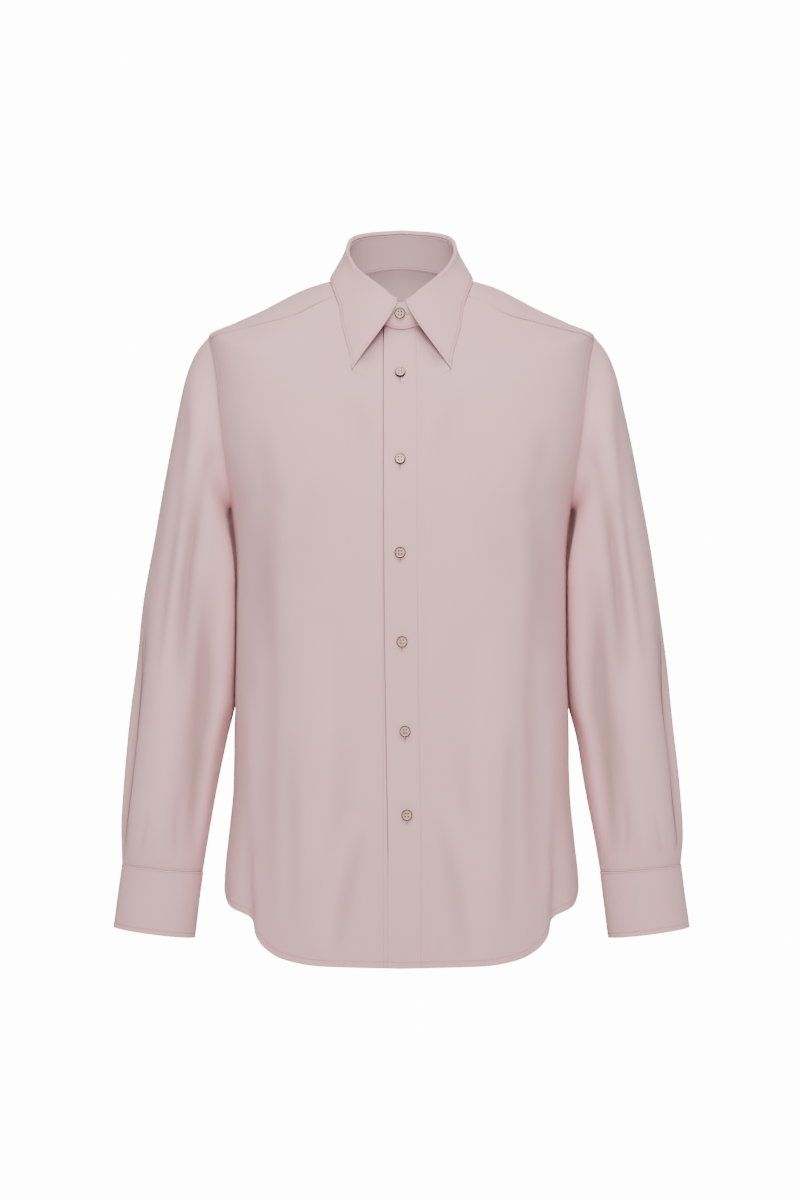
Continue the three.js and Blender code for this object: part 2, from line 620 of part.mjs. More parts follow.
// Point of the front band seen at x and z, found by closing in on the ring height.
function bandPlace(x, z) {
  let side = z;
  for (let i = 0; i < 40; i += 1) {
    side += 0.6 * (z - bodyPoint(turnAt(x, side), side).z);
  }
  const turn = turnAt(x, side);
  const out = bodyFacing(turn, side);
  return { point: bodyPoint(turn, side).addScaledVector(out, BAND_LIFT + CLOTH + BUTTON_CLEAR), out };
}
function frontButtons(group, material) {
  FRONT_BUTTONS.forEach(({ x, z }, i) => {
    const { point, out } = bandPlace(x, z);
    group.add(button("button_front_" + (i + 1), point, out, material));
  });
  const turn = Math.asin(COLLAR_BUTTON.x / STAND.half) / RAD;
  const { point, out } = standPlace(turn, COLLAR_BUTTON.share);
  group.add(button("button_collar", point.addScaledVector(out, SEAM), out, material));
}
function cuffButton(name, left, material) {
  const { point, out } = cuffPlace(360 + CUFF_OVERLAP - 14, 0.5);
  point.addScaledVector(out, INTERLINED + SEAM);
  if (!left) {
    point.x *= -1;
    out.x *= -1;
  }
  return button(name, point, out, material);
}

// The whole shirt.
function shirt() {
  const group = new THREE.Group();
  group.name = "long_sleeve_dress_shirt";
  const cloth = clothMaterial();
  const horn = buttonMaterial();
  group.add(yoke(cloth.clone()));
  group.add(back(cloth.clone()));
  group.add(front("front_left", true, cloth.clone()));
  group.add(front("front_right", false, cloth.clone()));
  group.add(collarStand(cloth.clone()));
  group.add(collarLeaf(cloth.clone()));
  for (const [word, left] of [["left", true], ["right", false]]) {
    group.add(sleeve("sleeve_" + word, left, cloth.clone()));
    group.add(cuff("cuff_" + word, left, cloth.clone()));
    group.add(sleevePlacket("sleeve_placket_" + word, left, cloth.clone()));
    group.add(cuffButton("button_cuff_" + word, left, horn.clone()));
  }
  frontButtons(group, horn);
  return group;
}

export default shirt();
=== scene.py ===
"""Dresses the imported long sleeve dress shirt: cloth, seams, stitching, buttons, light and camera.

Lengths are millimetres in the shirt's own sizes and metres in Blender. The front faces -Y and the
wearer's left arm is towards +X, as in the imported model.
"""

import logging
import math
from dataclasses import dataclass, field
from enum import Enum
from typing import Callable, Sequence

import bmesh
import bpy
import numpy as np
from mathutils import Matrix, Vector


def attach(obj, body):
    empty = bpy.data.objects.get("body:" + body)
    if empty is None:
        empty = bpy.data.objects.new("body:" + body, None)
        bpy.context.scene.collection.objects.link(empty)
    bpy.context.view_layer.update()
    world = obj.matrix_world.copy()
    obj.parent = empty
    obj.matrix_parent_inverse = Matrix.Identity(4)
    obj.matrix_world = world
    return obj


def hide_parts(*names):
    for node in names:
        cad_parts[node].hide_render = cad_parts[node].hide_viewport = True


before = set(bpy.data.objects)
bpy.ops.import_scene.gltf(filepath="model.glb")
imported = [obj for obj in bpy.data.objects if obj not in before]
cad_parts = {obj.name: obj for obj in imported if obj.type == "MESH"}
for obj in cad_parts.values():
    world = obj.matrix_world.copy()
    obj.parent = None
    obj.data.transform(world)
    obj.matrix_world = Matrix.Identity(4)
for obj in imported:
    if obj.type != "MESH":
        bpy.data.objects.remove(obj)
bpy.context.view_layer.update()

LOG = logging.getLogger("dress_shirt")
Array = np.ndarray
Surface = Callable[[Array, Array], Array]
Place = Callable[[Array, Array], tuple[Array, Array]]
Spot = tuple[float, float]
MM = 0.001
FAR = 500.0
SIDES = {True: "left", False: "right"}


# Plain maths on arrays.
def ease(share: Array) -> Array:
    """Returns a soft step: 0 below 0, 1 above 1, smooth between."""
    k = np.clip(share, 0.0, 1.0)
    return k * k * (3.0 - 2.0 * k)


def mix(low: Array, high: Array, share: Array) -> Array:
    """Returns the value that lies a share of the way from low to high."""
    return low + (high - low) * share


def signed(turn: Array) -> Array:
    """Returns an angle in degrees between -180 and 180."""
    return turn - 360.0 * np.round(np.asarray(turn) / 360.0)


def sin_deg(turn: Array) -> Array:
    """Returns the sine of an angle in degrees."""
    return np.sin(np.radians(turn))


def cos_deg(turn: Array) -> Array:
    """Returns the cosine of an angle in degrees."""
    return np.cos(np.radians(turn))


def stacked(x: Array, y: Array, z: Array) -> Array:
    """Returns points as rows of x, y and z."""
    return np.stack(np.broadcast_arrays(x, y, z), axis=-1).astype(float)


def unit(rows: Array) -> Array:
    """Returns each row at a length of one."""
    length = np.linalg.norm(rows, axis=-1, keepdims=True)
    return rows / np.maximum(length, 1e-9)


def facing(surface: Surface, u: Array, v: Array, du: float, dv: float) -> Array:
    """Works out the outward direction of a surface.

    Args:
        surface: Gives a point for each pair of numbers.
        u: First numbers.
        v: Second numbers.
        du: Small step of the first number.
        dv: Small step of the second number.

    Returns:
        One unit row for each point.
    """
    along = surface(u + du, v) - surface(u - du, v)
    across = surface(u, v + dv) - surface(u, v - dv)
    return unit(np.cross(along, across))


def curve(start: Array, first: Array, second: Array, end: Array, t: Array) -> Array:
    """Returns points of a smooth curve that leaves start towards first and comes to end from second."""
    k = 1 - t
    return start * k**3 + first * (3 * k * k * t) + second * (3 * k * t * t) + end * t**3


@dataclass(frozen=True)
class SizeTable:
    """Rows of sizes under named columns, read smoothly by the first column."""

    columns: tuple[str, ...]
    rows: tuple[tuple[float, ...], ...]

    def column(self, name: str) -> Array:
        """Returns one column of the table."""
        place = self.columns.index(name)
        return np.array([row[place] for row in self.rows], float)

    def read(self, name: str, at: Array) -> Array:
        """Reads a column between its rows, with slopes held so that it never overshoots.

        Args:
            name: The column to read.
            at: Places along the first column.

        Returns:
            The column's value at each place.
        """
        x = self.column(self.columns[0])
        y = self.column(name)
        step = np.diff(x)
        slope = np.diff(y) / step
        tangent = np.concatenate([slope[:1], slope[1:] * 0.0, slope[-1:]])
        product = slope[:-1] * slope[1:]
        total = np.where(product > 0, slope[:-1] + slope[1:], 1.0)
        tangent[1:-1] = np.where(product > 0, 2.0 * product / total, 0.0)
        at = np.clip(at, x[0], x[-1])
        i = np.clip(np.searchsorted(x, at, side="left") - 1, 0, len(x) - 2)
        t = (at - x[i]) / step[i]
        t2, t3 = t * t, t * t * t
        return (
            (2 * t3 - 3 * t2 + 1) * y[i]
            + (t3 - 2 * t2 + t) * step[i] * tangent[i]
            + (3 * t2 - 2 * t3) * y[i + 1]
            + (t3 - t2) * step[i] * tangent[i + 1]
        )


@dataclass(frozen=True)
class Crease:
    """A soft trough or ridge that runs from one place on the cloth to another.

    Places are (across, up) in millimetres on the piece; bow bends the line sideways, and sharp
    is the share of the width on its right-hand side, looking from start to end.
    """

    start: tuple[float, float]
    end: tuple[float, float]
    wide: float
    deep: float
    bow: float = 0.0
    sharp: float = 1.0

    def lift(self, across: Array, up: Array) -> Array:
        """Returns how far this crease moves the cloth out at each place."""
        a, b = np.array(self.start), np.array(self.end)
        run = b - a
        length = float(np.hypot(*run))
        way = run / length
        along = ((across - a[0]) * way[0] + (up - a[1]) * way[1]) / length
        aside = (across - a[0]) * -way[1] + (up - a[1]) * way[0]
        aside = aside - self.bow * 4.0 * along * (1.0 - along)
        inside = np.clip(along, 0.0, 1.0)
        fade = np.sin(np.pi * inside) ** 0.8
        wide = np.where(aside > 0, self.wide, self.wide * self.sharp)
        return self.deep * fade * np.exp(-((aside / wide) ** 2))


def creased(creases: Sequence[Crease], across: Array, up: Array) -> Array:
    """Returns the sum of the creases at each place."""
    total = np.zeros(np.broadcast(across, up).shape)
    for crease in creases:
        total = total + crease.lift(across, up)
    return total


def rippled(across: Array, up: Array, size: float, seed: float) -> Array:
    """Gives slow, uneven waves of cloth that isn't quite flat.

    Args:
        across: Places across the cloth in millimetres.
        up: Places up the cloth in millimetres.
        size: Usual length of a wave in millimetres.
        seed: Moves the waves, so that two pieces differ.

    Returns:
        Values of about -1 to 1.
    """
    total = np.zeros(np.broadcast(across, up).shape)
    waves = ((1.0, 0.35, 1.7), (-0.62, 0.9, 4.1), (0.38, -1.25, 2.3), (1.45, 0.7, 5.2), (-1.1, -0.45, 0.6))
    for x, y, phase in waves:
        total = total + np.sin(2 * np.pi * (x * across + y * up) / size + phase + seed * 1.9)
    return total / 3.2


# The form of the shirt, in the same sizes as its solids.
@dataclass(frozen=True)
class BodyForm:
    """The body's surface: an angle from centre front, and a ring named by its height at the side."""

    rings: SizeTable = SizeTable(
        ("side", "front", "back", "half", "ahead", "behind", "square", "mid"),
        (
            (-760, -760, -760, 191, 123, 117, 0.4, -10),
            (-690, -690, -690, 191, 121, 116, 0.4, -10),
            (-645, -645, -645, 190, 119, 114, 0.4, -10),
            (-600, -600, -600, 185.5, 118, 111, 0.4, -10),
            (-540, -540, -540, 179.8, 117, 107, 0.4, -10),
            (-470, -470, -470, 178.8, 117, 104, 0.4, -10),
            (-400, -400, -400, 176.5, 120, 105, 0.4, -11),
            (-310, -310, -310, 176, 125, 114, 0.4, -11),
            (-245, -245, -245, 181, 128, 121, 0.4, -8),
            (-205, -211, -203, 191, 127, 125, 0.4, -5),
            (-150, -173, -146, 202, 122, 126, 0.38, -2),
            (-100, -137, -94, 206, 114, 118, 0.34, 0),
            (-56, -107, -46, 207.5, 102, 101, 0.28, 0),
            (-42, -96, -31, 179, 96, 93, 0.24, 0),
            (-29, -86, -18, 150.5, 90, 86, 0.2, 0),
            (-16, -75, -6, 125, 83, 78, 0.14, 0),
            (-3, -64.5, 7, 97.5, 75, 68, 0.08, 0),
            (4, -58.8, 16.2, 75.5, 70, 59, 0.03, 0),
            (8, -55.5, 21, 60, 66, 54, 0, 0),
        ),
    )
    folds: SizeTable = SizeTable(
        ("turn", "wide", "deep", "full", "gone"),
        (
            (62, 6, -12, -700, -500),
            (-62, 6, -12, -700, -505),
            (49, 6, -2.5, -620, -270),
            (-49, 6.5, -2.5, -640, -260),
            (30, 7, 1.6, -740, -480),
            (-25, 7, 1.6, -740, -520),
            (118, 8, -7, -700, -330),
            (-122, 8, -6, -700, -360),
            (143, 9, 3.5, -720, -260),
            (-148, 9, 3.5, -720, -300),
            (168, 8, -3.5, -700, -240),
            (-172, 7, -3, -690, -280),
        ),
    )
    hem_edge: SizeTable = SizeTable(
        ("turn", "height"),
        (
            (0, -725.5), (26, -723.5), (40, -717.5), (49, -708), (54, -697), (58, -686), (64, -675),
            (76, -663), (85, -651), (90, -647), (97, -652), (112, -671), (130, -702), (150, -729),
            (180, -740),
        ),
    )

    def half(self, side: Array) -> Array:
        """Returns the body's half width at a ring."""
        return self.rings.read("half", side)

    def point(self, turn: Array, side: Array) -> Array:
        """Returns the body's points at angles from centre front and ring heights."""
        turn, side = np.broadcast_arrays(np.asarray(turn, float), np.asarray(side, float))
        s, c = sin_deg(turn), cos_deg(turn)
        ahead = c > 0
        depth = np.where(ahead, self.rings.read("ahead", side), self.rings.read("behind", side))
        end = np.where(ahead, self.rings.read("front", side), self.rings.read("back", side))
        fold = np.zeros(turn.shape)
        for place, wide, deep, full, gone in self.folds.rows:
            off = signed(turn - place) / wide
            fold = fold + deep * np.exp(-off * off) * ease((gone - side) / (gone - full))
        square = self.rings.read("square", side)
        return stacked(
            (self.half(side) + fold) * s,
            self.rings.read("mid", side) - depth * c * (1 + square * s * s) - fold * c,
            side + (end - side) * c * c,
        )

    def out(self, turn: Array, side: Array) -> Array:
        """Returns the body's outward directions."""
        return facing(self.point, np.asarray(turn, float), np.asarray(side, float), 0.05, 0.05)

    def turn_at(self, x: Array, side: Array) -> Array:
        """Returns the angle at which a ring passes a distance from the middle."""
        return np.degrees(np.arcsin(np.clip(x / self.half(side), -1, 1)))

    def hem(self, turn: Array) -> Array:
        """Returns the height of the hem at an angle."""
        return self.hem_edge.read("height", np.abs(signed(turn)))

    def side_of(self, x: float, z: float) -> float:
        """Returns the ring whose front passes through x and z, seen from the front."""
        side = z
        for _ in range(40):
            side += 0.6 * (z - float(self.point(self.turn_at(x, side), side)[2]))
        return side


@dataclass(frozen=True)
class Armhole:
    """The oval where the sleeve is set in: angle 0 at the shoulder tip, 180 under the arm."""

    top: float = -56.0
    low: float = -245.0
    front_turn: float = 18.0
    back_turn: float = 17.0
    square: float = 2.6
    bow: float = 0.42

    @property
    def middle(self) -> float:
        """The ring halfway up the armhole."""
        return (self.top + self.low) / 2

    @property
    def reach(self) -> float:
        """Half the armhole's height."""
        return (self.top - self.low) / 2

    def turn(self, angle: Array) -> Array:
        """Returns the body angle of the armhole's edge."""
        c = cos_deg(angle)
        round_low = np.abs(sin_deg(angle))
        square_top = np.maximum(1 - np.abs(c) ** self.square, 0.0) ** self.bow
        bow = np.where(c > 0, square_top, round_low)
        front = signed(angle) >= 0
        return np.where(front, 90 - self.front_turn * bow, 90 + self.back_turn * bow)

    def side(self, angle: Array) -> Array:
        """Returns the ring height of the armhole's edge."""
        return self.middle + self.reach * cos_deg(angle)

    def angle(self, side: Array) -> Array:
        """Returns the angle at a ring height, on the front."""
        return np.degrees(np.arccos(np.clip((side - self.middle) / self.reach, -1, 1)))

    def edge(self, angle: Array, way: int = 1) -> Array:
        """Returns points of the edge; way is 1 on the wearer's left and -1 on the right."""
        return BODY.point(way * self.turn(angle), self.side(angle))

    def edge_out(self, angle: Array, way: int = 1) -> Array:
        """Returns the body's outward directions along the edge."""
        return BODY.out(way * self.turn(angle), self.side(angle))


BODY = BodyForm()
ARMHOLE = Armhole()
TOPSTITCH_OVAL = Armhole(top=-50.5, low=-255.0, front_turn=21.8, back_turn=20.8)

BAND_EDGE = SizeTable(("side", "x"), ((-740, -11.3), (-300, -18), (-100, -18.6), (8, -18.8)))
YOKE_SEAM = SizeTable(("side", "turn"), ((-62, 80.8), (-52, 72), (-37, 65), (-16, 57.5), (0, 57.5), (8, 60)))


@dataclass(frozen=True)
class ShirtCut:
    """Sizes that several pieces share; wall is the thickness of the solids, cloth that of the sheets."""

    cloth: float = 1.0
    interlined: float = 1.6
    seam: float = 0.3
    layer: float = 0.4
    wall: float = 1.2
    thread: float = 0.1
    band_wide: float = 35.0
    band_ease: float = 9.0
    under_reach: float = 15.0
    yoke_corner: float = -62.0
    yoke_back: float = -100.0
    neck: float = 8.0
    hem_top: float = -600.0
    hem_low: float = -740.0

    @property
    def band_lift(self) -> float:
        """How far the over front stands off the under front."""
        return self.wall + self.layer

    @property
    def stitch_lift(self) -> float:
        """How far the middle of a stitch lies above a panel's inner side."""
        return self.cloth + self.thread

    @property
    def corner_front(self) -> float:
        """Armhole angle where the front yoke seam ends."""
        return float(ARMHOLE.angle(self.yoke_corner))

    @property
    def corner_back(self) -> float:
        """Armhole angle where the back yoke seam ends."""
        return float(ARMHOLE.angle(self.yoke_back))


CUT = ShirtCut()


def gap_turn(width: float, side: Array) -> Array:
    """Returns the body angle that a width takes up at a ring."""
    return np.degrees(width / BODY.half(side))


# Shader expressions.
class Wire:
    """Wraps a socket so that sums and products of sockets write their own Math nodes."""

    def __init__(self, shader: "Shader", socket: bpy.types.NodeSocket) -> None:
        """Keeps the socket and the shader it belongs to."""
        self.shader = shader
        self.socket = socket

    def _math(self, operation: str, first: "Wire | float", second: "Wire | float" = 0.0) -> "Wire":
        """Adds one Math node and returns its result."""
        return self.shader.node("ShaderNodeMath", {"operation": operation}, {0: first, 1: second})

    def __add__(self, other: "Wire | float") -> "Wire":
        """Adds two values."""
        return self._math("ADD", self, other)

    def __sub__(self, other: "Wire | float") -> "Wire":
        """Subtracts a value."""
        return self._math("SUBTRACT", self, other)

    def __rsub__(self, other: float) -> "Wire":
        """Subtracts this value from another."""
        return self._math("SUBTRACT", other, self)

    def __mul__(self, other: "Wire | float") -> "Wire":
        """Multiplies two values."""
        return self._math("MULTIPLY", self, other)

    __radd__ = __add__
    __rmul__ = __mul__

    def wave(self) -> "Wire":
        """Returns the sine of this value."""
        return self._math("SINE", self)

    def near(self, wide: float) -> "Wire":
        """Returns a share that is 1 where this value is zero and fades away over a width."""
        return self._math("EXPONENT", self * self * (-1.0 / wide**2))


class Shader:
    """A material's node tree, with one method that adds any node."""

    def __init__(self, name: str) -> None:
        """Makes an empty material of that name."""
        self.material = bpy.data.materials.new(name)
        self.material.use_nodes = True
        self.tree = self.material.node_tree
        self.tree.nodes.clear()

    def node(self, kind: str, settings: dict, inputs: dict, output: "str | int" = 0) -> Wire:
        """Adds a node.

        Args:
            kind: The node's type.
            settings: Its settings; "stops" holds a colour ramp's stops.
            inputs: Values or wires for its sockets, by name or number.
            output: The output to return.

        Returns:
            The chosen output as a wire.
        """
        made = self.tree.nodes.new(kind)
        for key, value in settings.items():
            if key == "stops":
                self._stops(made, value)
            else:
                setattr(made, key, value)
        for key, value in inputs.items():
            if isinstance(value, Wire):
                self.tree.links.new(value.socket, made.inputs[key])
            else:
                made.inputs[key].default_value = value
        return Wire(self, made.outputs[output])

    @staticmethod
    def _stops(ramp: bpy.types.Node, stops: Sequence[tuple[float, tuple]]) -> None:
        """Sets a colour ramp's stops."""
        elements = ramp.color_ramp.elements
        while len(elements) < len(stops):
            elements.new(0.5)
        for element, (place, colour) in zip(elements, stops):
            element.position = place
            element.color = colour

    def object_place(self) -> Wire:
        """Returns places on the object."""
        return self.node("ShaderNodeTexCoord", {}, {}, "Object")

    def attribute(self, name: str, output: str) -> Wire:
        """Returns an attribute of the mesh."""
        return self.node("ShaderNodeAttribute", {"attribute_name": name}, {}, output)

    def noise(self, place: Wire, scale: float, detail: float = 2.0, distortion: float = 0.0) -> Wire:
        """Returns a noise pattern of about 0 to 1."""
        inputs = {"Vector": place, "Scale": scale, "Detail": detail, "Distortion": distortion}
        return self.node("ShaderNodeTexNoise", {}, inputs, "Fac")

    def bump(self, height: Wire, strength: float, distance: float, over: "Wire | None" = None) -> Wire:
        """Returns a normal bent by a height, over another normal if that is given."""
        inputs = {"Strength": strength, "Distance": distance, "Height": height}
        if over is not None:
            inputs["Normal"] = over
        return self.node("ShaderNodeBump", {}, inputs, "Normal")

    def mix(self, share: Wire, first: "Wire | tuple", second: "Wire | tuple") -> Wire:
        """Returns a blend of two colours."""
        settings = {"data_type": "RGBA", "clamp_factor": False}
        return self.node("ShaderNodeMix", settings, {0: share, 6: first, 7: second}, 2)

    def parts(self, vector: Wire) -> list[Wire]:
        """Returns the three numbers of a vector."""
        made = self.node("ShaderNodeSeparateXYZ", {}, {0: vector}).socket.node
        return [Wire(self, socket) for socket in made.outputs]

    def finish(self, surface: Wire) -> bpy.types.Material:
        """Joins the surface to the output and returns the material."""
        out = self.tree.nodes.new("ShaderNodeOutputMaterial")
        self.tree.links.new(surface.socket, out.inputs["Surface"])
        return self.material

    def principled(self, inputs: dict) -> bpy.types.Material:
        """Gives the material a surface with these inputs and returns it."""
        return self.finish(self.node("ShaderNodeBsdfPrincipled", {}, inputs))


class Tone(Enum):
    """Named colours of the shirt and of its painted shade, linear red, green and blue."""

    CLOTH = (0.71, 0.385, 0.418, 1.0)
    CLOTH_WARM = (0.72, 0.435, 0.433, 1.0)
    # Deeper cloth tone at random, and also the painted shade along the stitch grooves.
    CLOTH_DEEP_AND_GROOVE_SHADE = (0.63, 0.33, 0.36, 1.0)
    # Painted shade in the troughs of the creases.
    TROUGH_SHADE = (0.46, 0.26, 0.26, 1.0)
    THREAD = (0.72, 0.48, 0.49, 1.0)
    SHADE = (0.10, 0.06, 0.055, 1.0)
    PEARL = (0.30, 0.14, 0.08, 1.0)
    PEARL_PALE = (0.66, 0.42, 0.31, 1.0)
    # Painted shade on the button rims, in the button holes and in the buttonhole slits.
    PAINTED_BUTTON_SHADE = (0.022, 0.011, 0.007, 1.0)
    STUDIO = (0.92, 0.92, 0.92, 1.0)
    WHITE = (1.0, 1.0, 1.0, 1.0)


@dataclass(frozen=True)
class ClothFinish:
    """Smooth, fine woven shirting: plain weave, soft sheen and slight changes of tone, with painted shade in
    stitch grooves, crease troughs, under laps and on the inside, and painted light on crease ridges.
    """

    name: str = "shirting"
    thread: float = 0.00042
    roughness: float = 0.82
    sheen: float = 0.12
    slow_scale: float = 9.0
    fine_scale: float = 260.0
    stretch: tuple[float, float, float] = (900.0, 22.0, 1.0)
    weave: float = 0.10
    slub: float = 0.12
    groove: float = 0.34
    groove_wide: float = 0.55
    pucker: float = 0.32
    pucker_wide: float = 5.0
    pucker_long: float = 7.0
    groove_shade: float = 0.75
    lap_wide: float = 0.9
    fold_shadow: float = 0.9
    edge_shadow: float = 0.7
    shadow_wide: float = 10.5
    shadow_dark: float = 0.44
    crease_shade: float = 0.2
    ridge_light: float = -0.12
    inside_shade: float = 0.0

    def build(self) -> bpy.types.Material:
        """Returns the cloth's material."""
        shader = Shader(self.name)
        place = shader.node("ShaderNodeUVMap", {"uv_map": "cloth"}, {}, "UV")
        across, along, _ = shader.parts(place)
        turns = 2 * math.pi / self.thread
        weave = (across * turns).wave() * (along * turns).wave()
        slow = shader.noise(place, self.slow_scale, 3.0)
        fine = shader.noise(place, self.fine_scale)
        drawn = {0: place, 1: self.stretch}
        drawn_out = shader.node("ShaderNodeVectorMath", {"operation": "MULTIPLY"}, drawn)
        streak = shader.noise(drawn_out, 1.0)
        colour = shader.mix(slow, Tone.CLOTH.value, Tone.CLOTH_WARM.value)
        colour = shader.mix((fine * 0.5 + streak * 0.5) * 0.35, colour, Tone.CLOTH_DEEP_AND_GROOVE_SHADE.value)
        relief = weave * self.weave + streak * self.slub + fine * self.slub
        sunk, drawn = self._seams(shader)
        # Painted shade in stitch grooves and crease troughs (painted light on ridges), and painted shadow
        # under laps and inside.
        for share, tone in (
            (sunk * self.groove_shade, Tone.CLOTH_DEEP_AND_GROOVE_SHADE),
            (self._crease_light_and_shade(shader), Tone.TROUGH_SHADE),
            (self._shade(shader), Tone.SHADE),
        ):
            colour = shader.mix(share, colour, tone.value)
        return shader.principled(
            {
                "Base Color": colour,
                "Roughness": self.roughness - fine * 0.08,
                "Sheen Weight": self.sheen,
                "Sheen Roughness": 0.5,
                "Specular IOR Level": 0.25,
                "Normal": shader.bump(drawn, 1.0, 0.001, shader.bump(relief, 0.35, 0.0002)),
            }
        )

    def _shade(self, shader: Shader) -> Wire:
        """Returns the share of painted shade: painted shadow beside the edge of a piece that lies on this
        one, and a constant painted shade for the inside.
        """
        fold, leaf, under = shader.parts(shader.attribute("lap_gap", "Vector"))
        total = under.near(self.shadow_wide) * self.shadow_dark
        for gap, dark in ((fold, self.fold_shadow), (leaf, self.edge_shadow)):
            total = total + gap.near(self.lap_wide) * dark
        return total + self.inside_shade

    def _crease_light_and_shade(self, shader: Shader) -> Wire:
        """Returns the share of painted shade in the troughs of the creases, below zero for painted light on
        ridges.
        """
        low = shader.attribute("hollow", "Fac") * -self.crease_shade
        return shader.node("ShaderNodeClamp", {}, {"Value": low, "Min": self.ridge_light, "Max": 1.0})

    def _seams(self, shader: Shader) -> tuple[Wire, Wire]:
        """Works out the stitching's marks: how near a line is, and how the seam draws the cloth.

        Args:
            shader: The shader to add to.

        Returns:
            A share that is 1 on a line of stitching, which paints shade into the stitch groove, and a height
            in millimetres.
        """
        gaps, runs = (shader.parts(shader.attribute(name, "Vector")) for name in ("stitch_gap", "stitch_run"))
        sunk, height = 0.0, 0.0
        for gap, run in zip(gaps, runs):
            line = gap.near(self.groove_wide)
            at = {0: run * (1.0 / self.pucker_long), 1: gap * 0.06, 2: 0.3}
            wave = shader.noise(shader.node("ShaderNodeCombineXYZ", {}, at), 1.0, 1.0)
            sunk = sunk + line
            height = height + gap.near(self.pucker_wide) * (wave - 0.5) * self.pucker - line * self.groove
        return sunk, height


@dataclass(frozen=True)
class ThreadFinish:
    """Tone-on-tone sewing thread with a twist."""

    name: str = "sewing_thread"
    twist: float = 5200.0

    def build(self) -> bpy.types.Material:
        """Returns the thread's material."""
        shader = Shader(self.name)
        noise = shader.noise(shader.object_place(), self.twist, 1.0)
        return shader.principled(
            {
                "Base Color": shader.mix(noise, Tone.THREAD.value, Tone.CLOTH_WARM.value),
                "Roughness": 0.6,
                "Sheen Weight": 0.1,
                "Normal": shader.bump(noise, 0.3, 0.0001),
            }
        )


@dataclass(frozen=True)
class PearlFinish:
    """Pearly beige button resin: cloudy bands of pale and warm, under a clear gloss."""

    name: str = "pearl_button"
    cloud: float = 260.0
    stops: tuple[tuple[float, Tone], ...] = ((0.3, Tone.PEARL), (0.55, Tone.PEARL_PALE), (0.75, Tone.PEARL))

    def build(self) -> bpy.types.Material:
        """Returns the button's material."""
        shader = Shader(self.name)
        cloud = shader.noise(shader.object_place(), self.cloud, 3.0, 1.5)
        stops = [(place, tone.value) for place, tone in self.stops]
        colour = shader.node("ShaderNodeValToRGB", {"stops": stops}, {"Fac": cloud}, "Color")
        return shader.principled(
            {"Base Color": colour, "Roughness": 0.28, "Coat Weight": 0.4, "Coat Roughness": 0.12}
        )


@dataclass(frozen=True)
class PlainFinish:
    """A finish of one tone with a slight grain."""

    name: str
    tone: Tone
    roughness: float = 0.7
    grain: float = 3000.0

    def build(self) -> bpy.types.Material:
        """Returns the material."""
        shader = Shader(self.name)
        grain = shader.noise(shader.object_place(), self.grain)
        return shader.principled(
            {
                "Base Color": self.tone.value,
                "Roughness": self.roughness - grain * 0.06,
                "Specular IOR Level": 0.15,
            }
        )


@dataclass(frozen=True)
class PaperFinish:
    """White studio paper that looks evenly lit, as in the photograph."""

    name: str = "studio_paper"
    glow: float = 14.0

    def build(self) -> bpy.types.Material:
        """Returns the paper's material."""
        shader = Shader(self.name)
        paper = shader.node("ShaderNodeBsdfDiffuse", {}, {"Color": Tone.STUDIO.value, "Roughness": 0.9})
        light = shader.node("ShaderNodeEmission", {}, {"Color": Tone.WHITE.value, "Strength": self.glow})
        seen = shader.node("ShaderNodeLightPath", {}, {}, "Is Camera Ray")
        return shader.finish(shader.node("ShaderNodeMixShader", {}, {0: seen, 1: paper, 2: light}))


@dataclass
class Finishes:
    """The materials that the pieces share."""

    cloth: bpy.types.Material = field(default_factory=ClothFinish().build)
    # The inner shells take a constant painted shade, deeper inside the neck.
    inside: bpy.types.Material = field(default_factory=ClothFinish("shirting_inside_shaded", inside_shade=0.1).build)
    neck: bpy.types.Material = field(default_factory=ClothFinish("shirting_neck_shaded", inside_shade=0.36).build)
    thread: bpy.types.Material = field(default_factory=ThreadFinish().build)
    pearl: bpy.types.Material = field(default_factory=PearlFinish().build)
    # Painted shade for button rims, button holes and buttonhole slits.
    button_shade: bpy.types.Material = field(
        default_factory=PlainFinish("button_shade", Tone.PAINTED_BUTTON_SHADE, 0.8).build
    )
    studio: bpy.types.Material = field(default_factory=PaperFinish().build)


# Mesh helpers.
class Way(Enum):
    """Which side of its surface a sheet's thickness lies on."""

    OUT = 1.0
    IN = -1.0


def spread(stops: Sequence[float], step: float) -> Array:
    """Returns even steps between stops, each stop kept.

    Args:
        stops: Places that have to be hit, in order.
        step: Largest step between two places.

    Returns:
        The places.
    """
    parts = [np.array([float(stops[0])])]
    for low, high in zip(stops[:-1], stops[1:]):
        count = max(1, math.ceil(abs(high - low) / step))
        parts.append(np.linspace(low, high, count + 1)[1:])
    return np.concatenate(parts)


def smooth_mesh(bm: bmesh.types.BMesh, name: str) -> bpy.types.Mesh:
    """Turns a finished bmesh into a smooth shaded mesh."""
    mesh = bpy.data.meshes.new(name)
    bm.to_mesh(mesh)
    bm.free()
    mesh.polygons.foreach_set("use_smooth", [True] * len(mesh.polygons))
    return mesh


def add_object(name: str, mesh: bpy.types.Mesh, material: bpy.types.Material) -> bpy.types.Object:
    """Links a mesh as an object that rides on the shirt and takes its finish from a slot."""
    mesh.materials.append(material)
    made = bpy.data.objects.new(name, mesh)
    bpy.context.scene.collection.objects.link(made)
    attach(made, "root")
    return made


